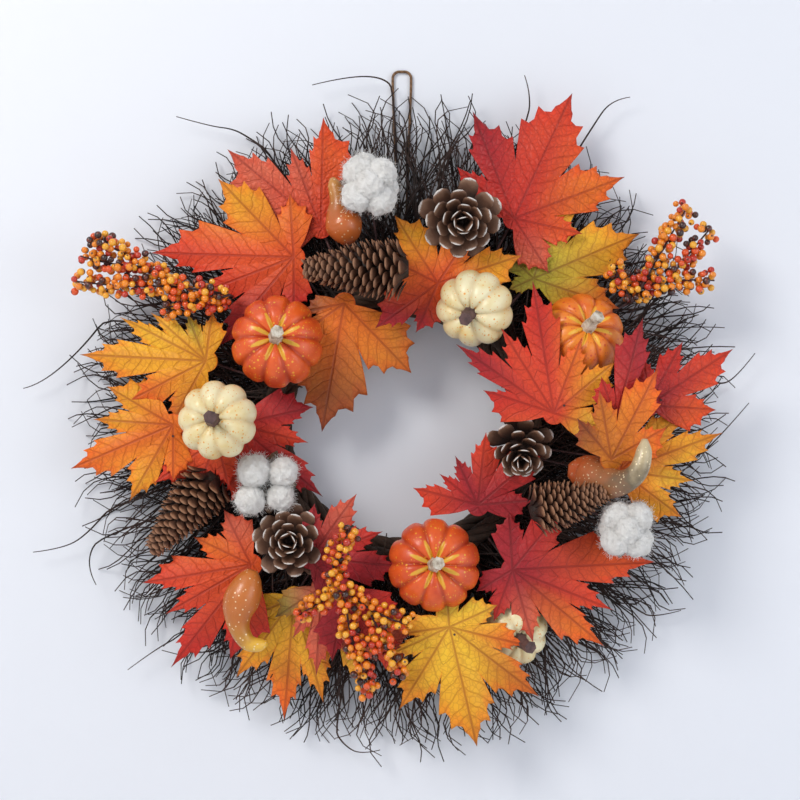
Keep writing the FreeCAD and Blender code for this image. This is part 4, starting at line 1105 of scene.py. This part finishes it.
for name, (place, width, (direction, tilt), spin) in OPEN_CONES.items():
    front, turn = facing_turn(direction, tilt)
    low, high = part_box(name)
    foot = at(*place, (door_y - high.y) / MM)
    scales = run_tree(name, cone_spiral, Count=34, Height=OPEN_CONE_HEIGHT * 0.80 * MM,
        Root_Radius=width * 0.13 * MM, Top_Radius=width * 0.03 * MM, Belly=0.30,
        Scale_Length=width * 0.43 * MM, Scale_Width=width * 0.33 * MM, Scale_Thickness=0.0028, Bow=-0.0022,
        Low_Tilt=1.48, Top_Tilt=0.26, Top_Size=0.58, Material=frosted_wood)
    scales.transform(Matrix.Translation(foot + front * 0.004) @ turn @ Matrix.Rotation(spin, 4, "Z"))
    finish_piece(name + "_scales", scales, None, [name])
    line = [foot + front * (OPEN_CONE_HEIGHT * share * MM) for share in (0.02, 0.2, 0.5, 0.8, 0.88)]
    core = [width * share * MM for share in (0.10, 0.16, 0.13, 0.06, 0.02)]
    add_piece(name + "_core", sweep(line, core, 12), frosted_wood)

# ---- Cotton: bolls of loose white fibre in four or five soft locks, with stray fibres standing off them. Each
# boll sits in a dried brown husk whose pointed bracts show behind it.
# node: (locks as (x, z, forward, width) from the boll's middle, boll's middle)
COTTON = {
    "cotton_boll_1": (((-7, 10, 0, 29), (9, 9, 2, 27), (-9, -8, 2, 27), (8, -10, 0, 28), (0, 0, 7, 27),
                       (14, -1, -3, 20), (-3, 17, -3, 20)), (-26.0, 191.0)),
    "cotton_boll_2": (((-7, 9, 0, 27), (8, 9, 1, 26), (-8, -8, 2, 26), (8, -9, 0, 27), (0, 0, 7, 25),
                       (-13, 1, -3, 18)), (176.0, -79.0)),
    "cotton_boll_3": (((-10, -14, 0, 25), (14, -12, 0, 23), (-7, 9, 2, 28), (16, 8, 1, 25)),
                      (-111.0, -43.0)),
}
LOCK_FLUFF = 0.11
FIBRES_PER_BOLL = 2600
BRACTS = 5
BRACT_RADII = (2.0, 5.0, 6.0, 3.0, 0.4)
BRACT_SIDES = 8


def fluff_tree():
    """Fine bent fibres standing off a surface."""
    tree, given = new_geometry_tree("fluff", ("Amount", "Float", 1.0), ("Length", "Float", 0.004),
        ("Seed", "Int", 1), ("Material", "Material", None))
    spread = node(tree, "GeometryNodeDistributePointsOnFaces",
        {"Mesh": given["Geometry"], "Density": given["Amount"], "Seed": given["Seed"]})
    spine = shaped(tree, "CurveQuadraticBezier", None, {"Resolution": 4, "Start": (0, 0, -0.0008),
        "Middle": (0.0012, 0, 0.0018), "End": (-0.0006, 0, 0.004)})
    profile = shaped(tree, "CurvePrimitiveCircle", None, {"Resolution": 3, "Radius": 0.00009})
    fibre = shaped(tree, "CurveToMesh", {"Curve": spine, "Profile Curve": profile}, {"Fill Caps": True})
    lean = random_value(tree, (-1.1, -1.1, -3.1), (1.1, 1.1, 3.1), given["Seed"], kind="FLOAT_VECTOR")
    turn = node(tree, "FunctionNodeRotateEuler", {"Rotation": spread.outputs["Rotation"], "Rotate By": lean},
        rotation_type="EULER", space="LOCAL").outputs[0]
    size = random_value(tree, 0.5, 1.3, 7)
    fibres = shaped(tree, "InstanceOnPoints", {"Points": spread.outputs["Points"], "Instance": fibre,
        "Rotation": turn, "Scale": size})
    close_tree(tree, fibres, given["Material"])
    return tree


def lock_shape(middle, width, seed):
    """One soft lock: a ball pushed in and out by the tufts in it."""
    shaper = bmesh.new()
    bmesh.ops.create_icosphere(shaper, subdivisions=5, radius=1.0)
    verts = []
    for vert in shaper.verts:
        way = vert.co.normalized()
        tuft = noise.fractal(way * 2.3 + Vector((seed, 0, 0)), 0.7, 2.2, 5)
        fine = noise.noise(way * 11 + Vector((seed, 3, 0)))
        verts.append(middle + way * (width / 2 * MM * (0.94 + LOCK_FLUFF * tuft + 0.03 * fine)))
    faces = [tuple(corner.index for corner in face.verts) for face in shaper.faces]
    shaper.free()
    return verts, faces


cotton_fibre = mottled_skin("cotton_fibre", (110, 1600), ((0.3, (0.80, 0.78, 0.75)),
    (0.6, (0.93, 0.92, 0.90))), (0.9, 0.0012), Base_Color=(0.90, 0.89, 0.87, 1), Roughness=0.95,
    Subsurface_Weight=0.35, Sheen_Weight=0.35, Specular_IOR_Level=0.1,
    Subsurface_Radius=(0.004, 0.004, 0.004))
husk_shell = mottled_skin("husk_shell", (120, 1200), ((0.3, (0.055, 0.030, 0.018)),
    (0.7, (0.21, 0.125, 0.075))), (0.6, 0.0005), Roughness=0.7)

fluff = fluff_tree()
bracts = []
for number, (name, (locks, (x, z))) in enumerate(COTTON.items()):
    depth = depth_of(name)
    shapes = [lock_shape(at(x + lx, z + lz, depth + forward), width, number * 10 + index) for index,
        (lx, lz, forward, width) in enumerate(locks)]
    boll = add_piece(name + "_locks", joined(shapes), cotton_fibre, [name])
    area = sum(polygon.area for polygon in boll.data.polygons)
    loose = run_tree(name + "_fluff", fluff, boll.data.copy(), Amount=FIBRES_PER_BOLL / area,
        Seed=number + 1, Material=cotton_fibre)
    finish_piece(name + "_fluff", loose, None)
    back = depth - (15 if number < 2 else 5)
    for bract in range(BRACTS):
        turn = CIRCLE * (bract + 0.3 * number) / BRACTS + 0.4
        reach = 24 if number < 2 else 27
        line = []
        for share, lift in ((0.0, -12), (0.30, -7), (0.62, -1), (0.88, 1), (1.0, -2)):
            line.append(at(x + cos(turn) * reach * share, z + sin(turn) * reach * share, back + lift))
        bracts.append(sweep(line, [radius * MM for radius in BRACT_RADII], BRACT_SIDES))
add_piece("husk_bracts", joined(bracts), husk_shell, ["cotton_husks"])

# ---- Berry sprays: little foam balls dipped in glossy paint, glued thickly round thin taped stems that fork.
# Most are amber and orange, with some red, a few almost black, and each has a small dark eye.
# name: (depth, strands as places along the stem)
SPRAYS = {
    "left": (66, (
        ((-137, 106), (-178, 114), (-220, 112), (-260, 117)),
        ((-178, 114), (-206, 130), (-232, 130), (-256, 137)),
        ((-206, 130), (-226, 144), (-250, 150)),
        ((-137, 106), (-158, 100), (-190, 96)),
    )),
    "right": (60, (
        ((184, 101), (192, 112.8), (210, 146), (229, 178)),
        ((192, 112.8), (214, 120), (250, 118)),
        ((214, 120), (228, 138), (247, 160)),
        ((184, 101), (176, 118), (168, 130)),
    )),
    "bottom": (92, (
        ((-54, -108), (-45.6, -125.6), (-40, -168), (-24, -208)),
        ((-45.6, -125.6), (-62, -134), (-82, -147)),
        ((-45.6, -125.6), (-24, -146), (6, -154)),
        ((-40, -168), (-22, -172), (-8, -168)),
        ((-24, -146), (-12, -172), (0, -194)),
        ((-54, -108), (-48, -92), (-40, -78)),
    )),
}
BERRY_WIDTH = 5.6
BERRY_ROW = 3.1
BERRY_OFFSETS = (3.1, 9.4)
BERRY_NEAREST = 0.90
BERRY_TRIES = 11


def berry_tree():
    """A ball with an eye on each point, each with its own colour number."""
    tree, given = new_geometry_tree("berry_balls", ("Width", "Float", 0.0052), ("Seed", "Int", 4),
        ("Material", "Material", None))
    ball = shaped(tree, "MeshUVSphere", {"Radius": times(given["Width"], 0.5)}, {"Segments": 14, "Rings": 9})
    up = node(tree, "ShaderNodeSeparateXYZ", {"Vector": shaped(tree, "InputNormal")}).outputs["Z"]
    ball = shaped(tree, "StoreNamedAttribute", {"Geometry": ball, "Value": up}, {"Name": "eye"},
        data_type="FLOAT", domain="POINT")
    turn = random_value(tree, (0.2, 0.0, -3.1), (2.6, 0.6, 3.1), given["Seed"], kind="FLOAT_VECTOR")
    size = random_value(tree, 0.86, 1.14, 9)
    balls = shaped(tree, "InstanceOnPoints", {"Points": given["Geometry"], "Instance": ball,
        "Rotation": turn, "Scale": size})
    pick = random_value(tree, 0.0, 1.0, 21)
    balls = shaped(tree, "StoreNamedAttribute", {"Geometry": balls, "Value": pick}, {"Name": "shade"},
        data_type="FLOAT", domain="INSTANCE")
    close_tree(tree, balls, given["Material"])
    return tree


berry_paint, tree, shader = new_material("berry_paint", Roughness=0.28, Coat_Weight=0.5, Subsurface_Weight=0.08)
shader.inputs["Subsurface Radius"].default_value = (0.002, 0.001, 0.001)
shade = attribute(tree, "shade")
colours = node(tree, "ShaderNodeValToRGB", {"Fac": shade})
colours.color_ramp.interpolation = "CONSTANT"
for place, colour in ((0.22, (0.84, 0.26, 0.012)), (0.52, (0.74, 0.09, 0.012)), (0.74, (0.50, 0.03, 0.015)),
        (0.88, (0.030, 0.010, 0.010))):
    colours.color_ramp.elements.new(place).color = (*colour, 1)
colours.color_ramp.elements[0].color = (0.88, 0.42, 0.03, 1)
colours.color_ramp.elements[-1].color = (0.030, 0.010, 0.010, 1)
coarse, fine = mottled(tree, 300, 1800)
eye = attribute(tree, "eye")
speck = smooth_step(eye, 0.90, 0.96)
painted = mix(tree, times(speck, 0.85), colours.outputs["Color"], (0.03, 0.012, 0.008))
painted = mix(tree, times(smooth_step(coarse, 0.45, 0.75), 0.30), painted, (0.70, 0.10, 0.02))
paint(shader, painted)
bump(shader, fine, 0.25, 0.0003)
stem_tape = mottled_skin("stem_tape", (140, 1400), ((0.3, (0.030, 0.012, 0.014)),
    (0.7, (0.10, 0.042, 0.040))), (0.6, 0.0004), Roughness=0.65)

chance = random.Random(11)
berry_spots, berry_stems = [], []
for depth, strands in SPRAYS.values():
    for strand in strands:
        line = smooth_line([at(x, z, depth) for x, z in strand], 14)
        berry_stems.append(sweep(line, [(1.0 - 0.35 * index / len(line)) * MM for index in range(len(line))], 7))
        travelled = 0.0
        for start, end in zip(line, line[1:]):
            travelled += (end - start).length
            if travelled < BERRY_ROW * MM:
                continue
            travelled -= BERRY_ROW * MM
            for _ in range(BERRY_TRIES):
                way = (end - start).normalized()
                side = Matrix.Rotation(chance.uniform(0, CIRCLE), 3, way) @ way.orthogonal().normalized()
                spot = end + side * (chance.uniform(*BERRY_OFFSETS) * MM)
                if all((spot - other).length > BERRY_WIDTH * BERRY_NEAREST * MM for other in berry_spots):
                    berry_spots.append(spot)
add_piece("spray_stems", joined(berry_stems), stem_tape, ["berry_stems"])
spots = plain_mesh("berry_spots", berry_spots, [])
balls = run_tree("berry_balls", berry_tree(), spots, Width=BERRY_WIDTH * MM, Seed=4, Material=berry_paint)
finish_piece("berry_balls", balls, None, ["berries"])
paint_nodes(stem_tape, "pick_wires")
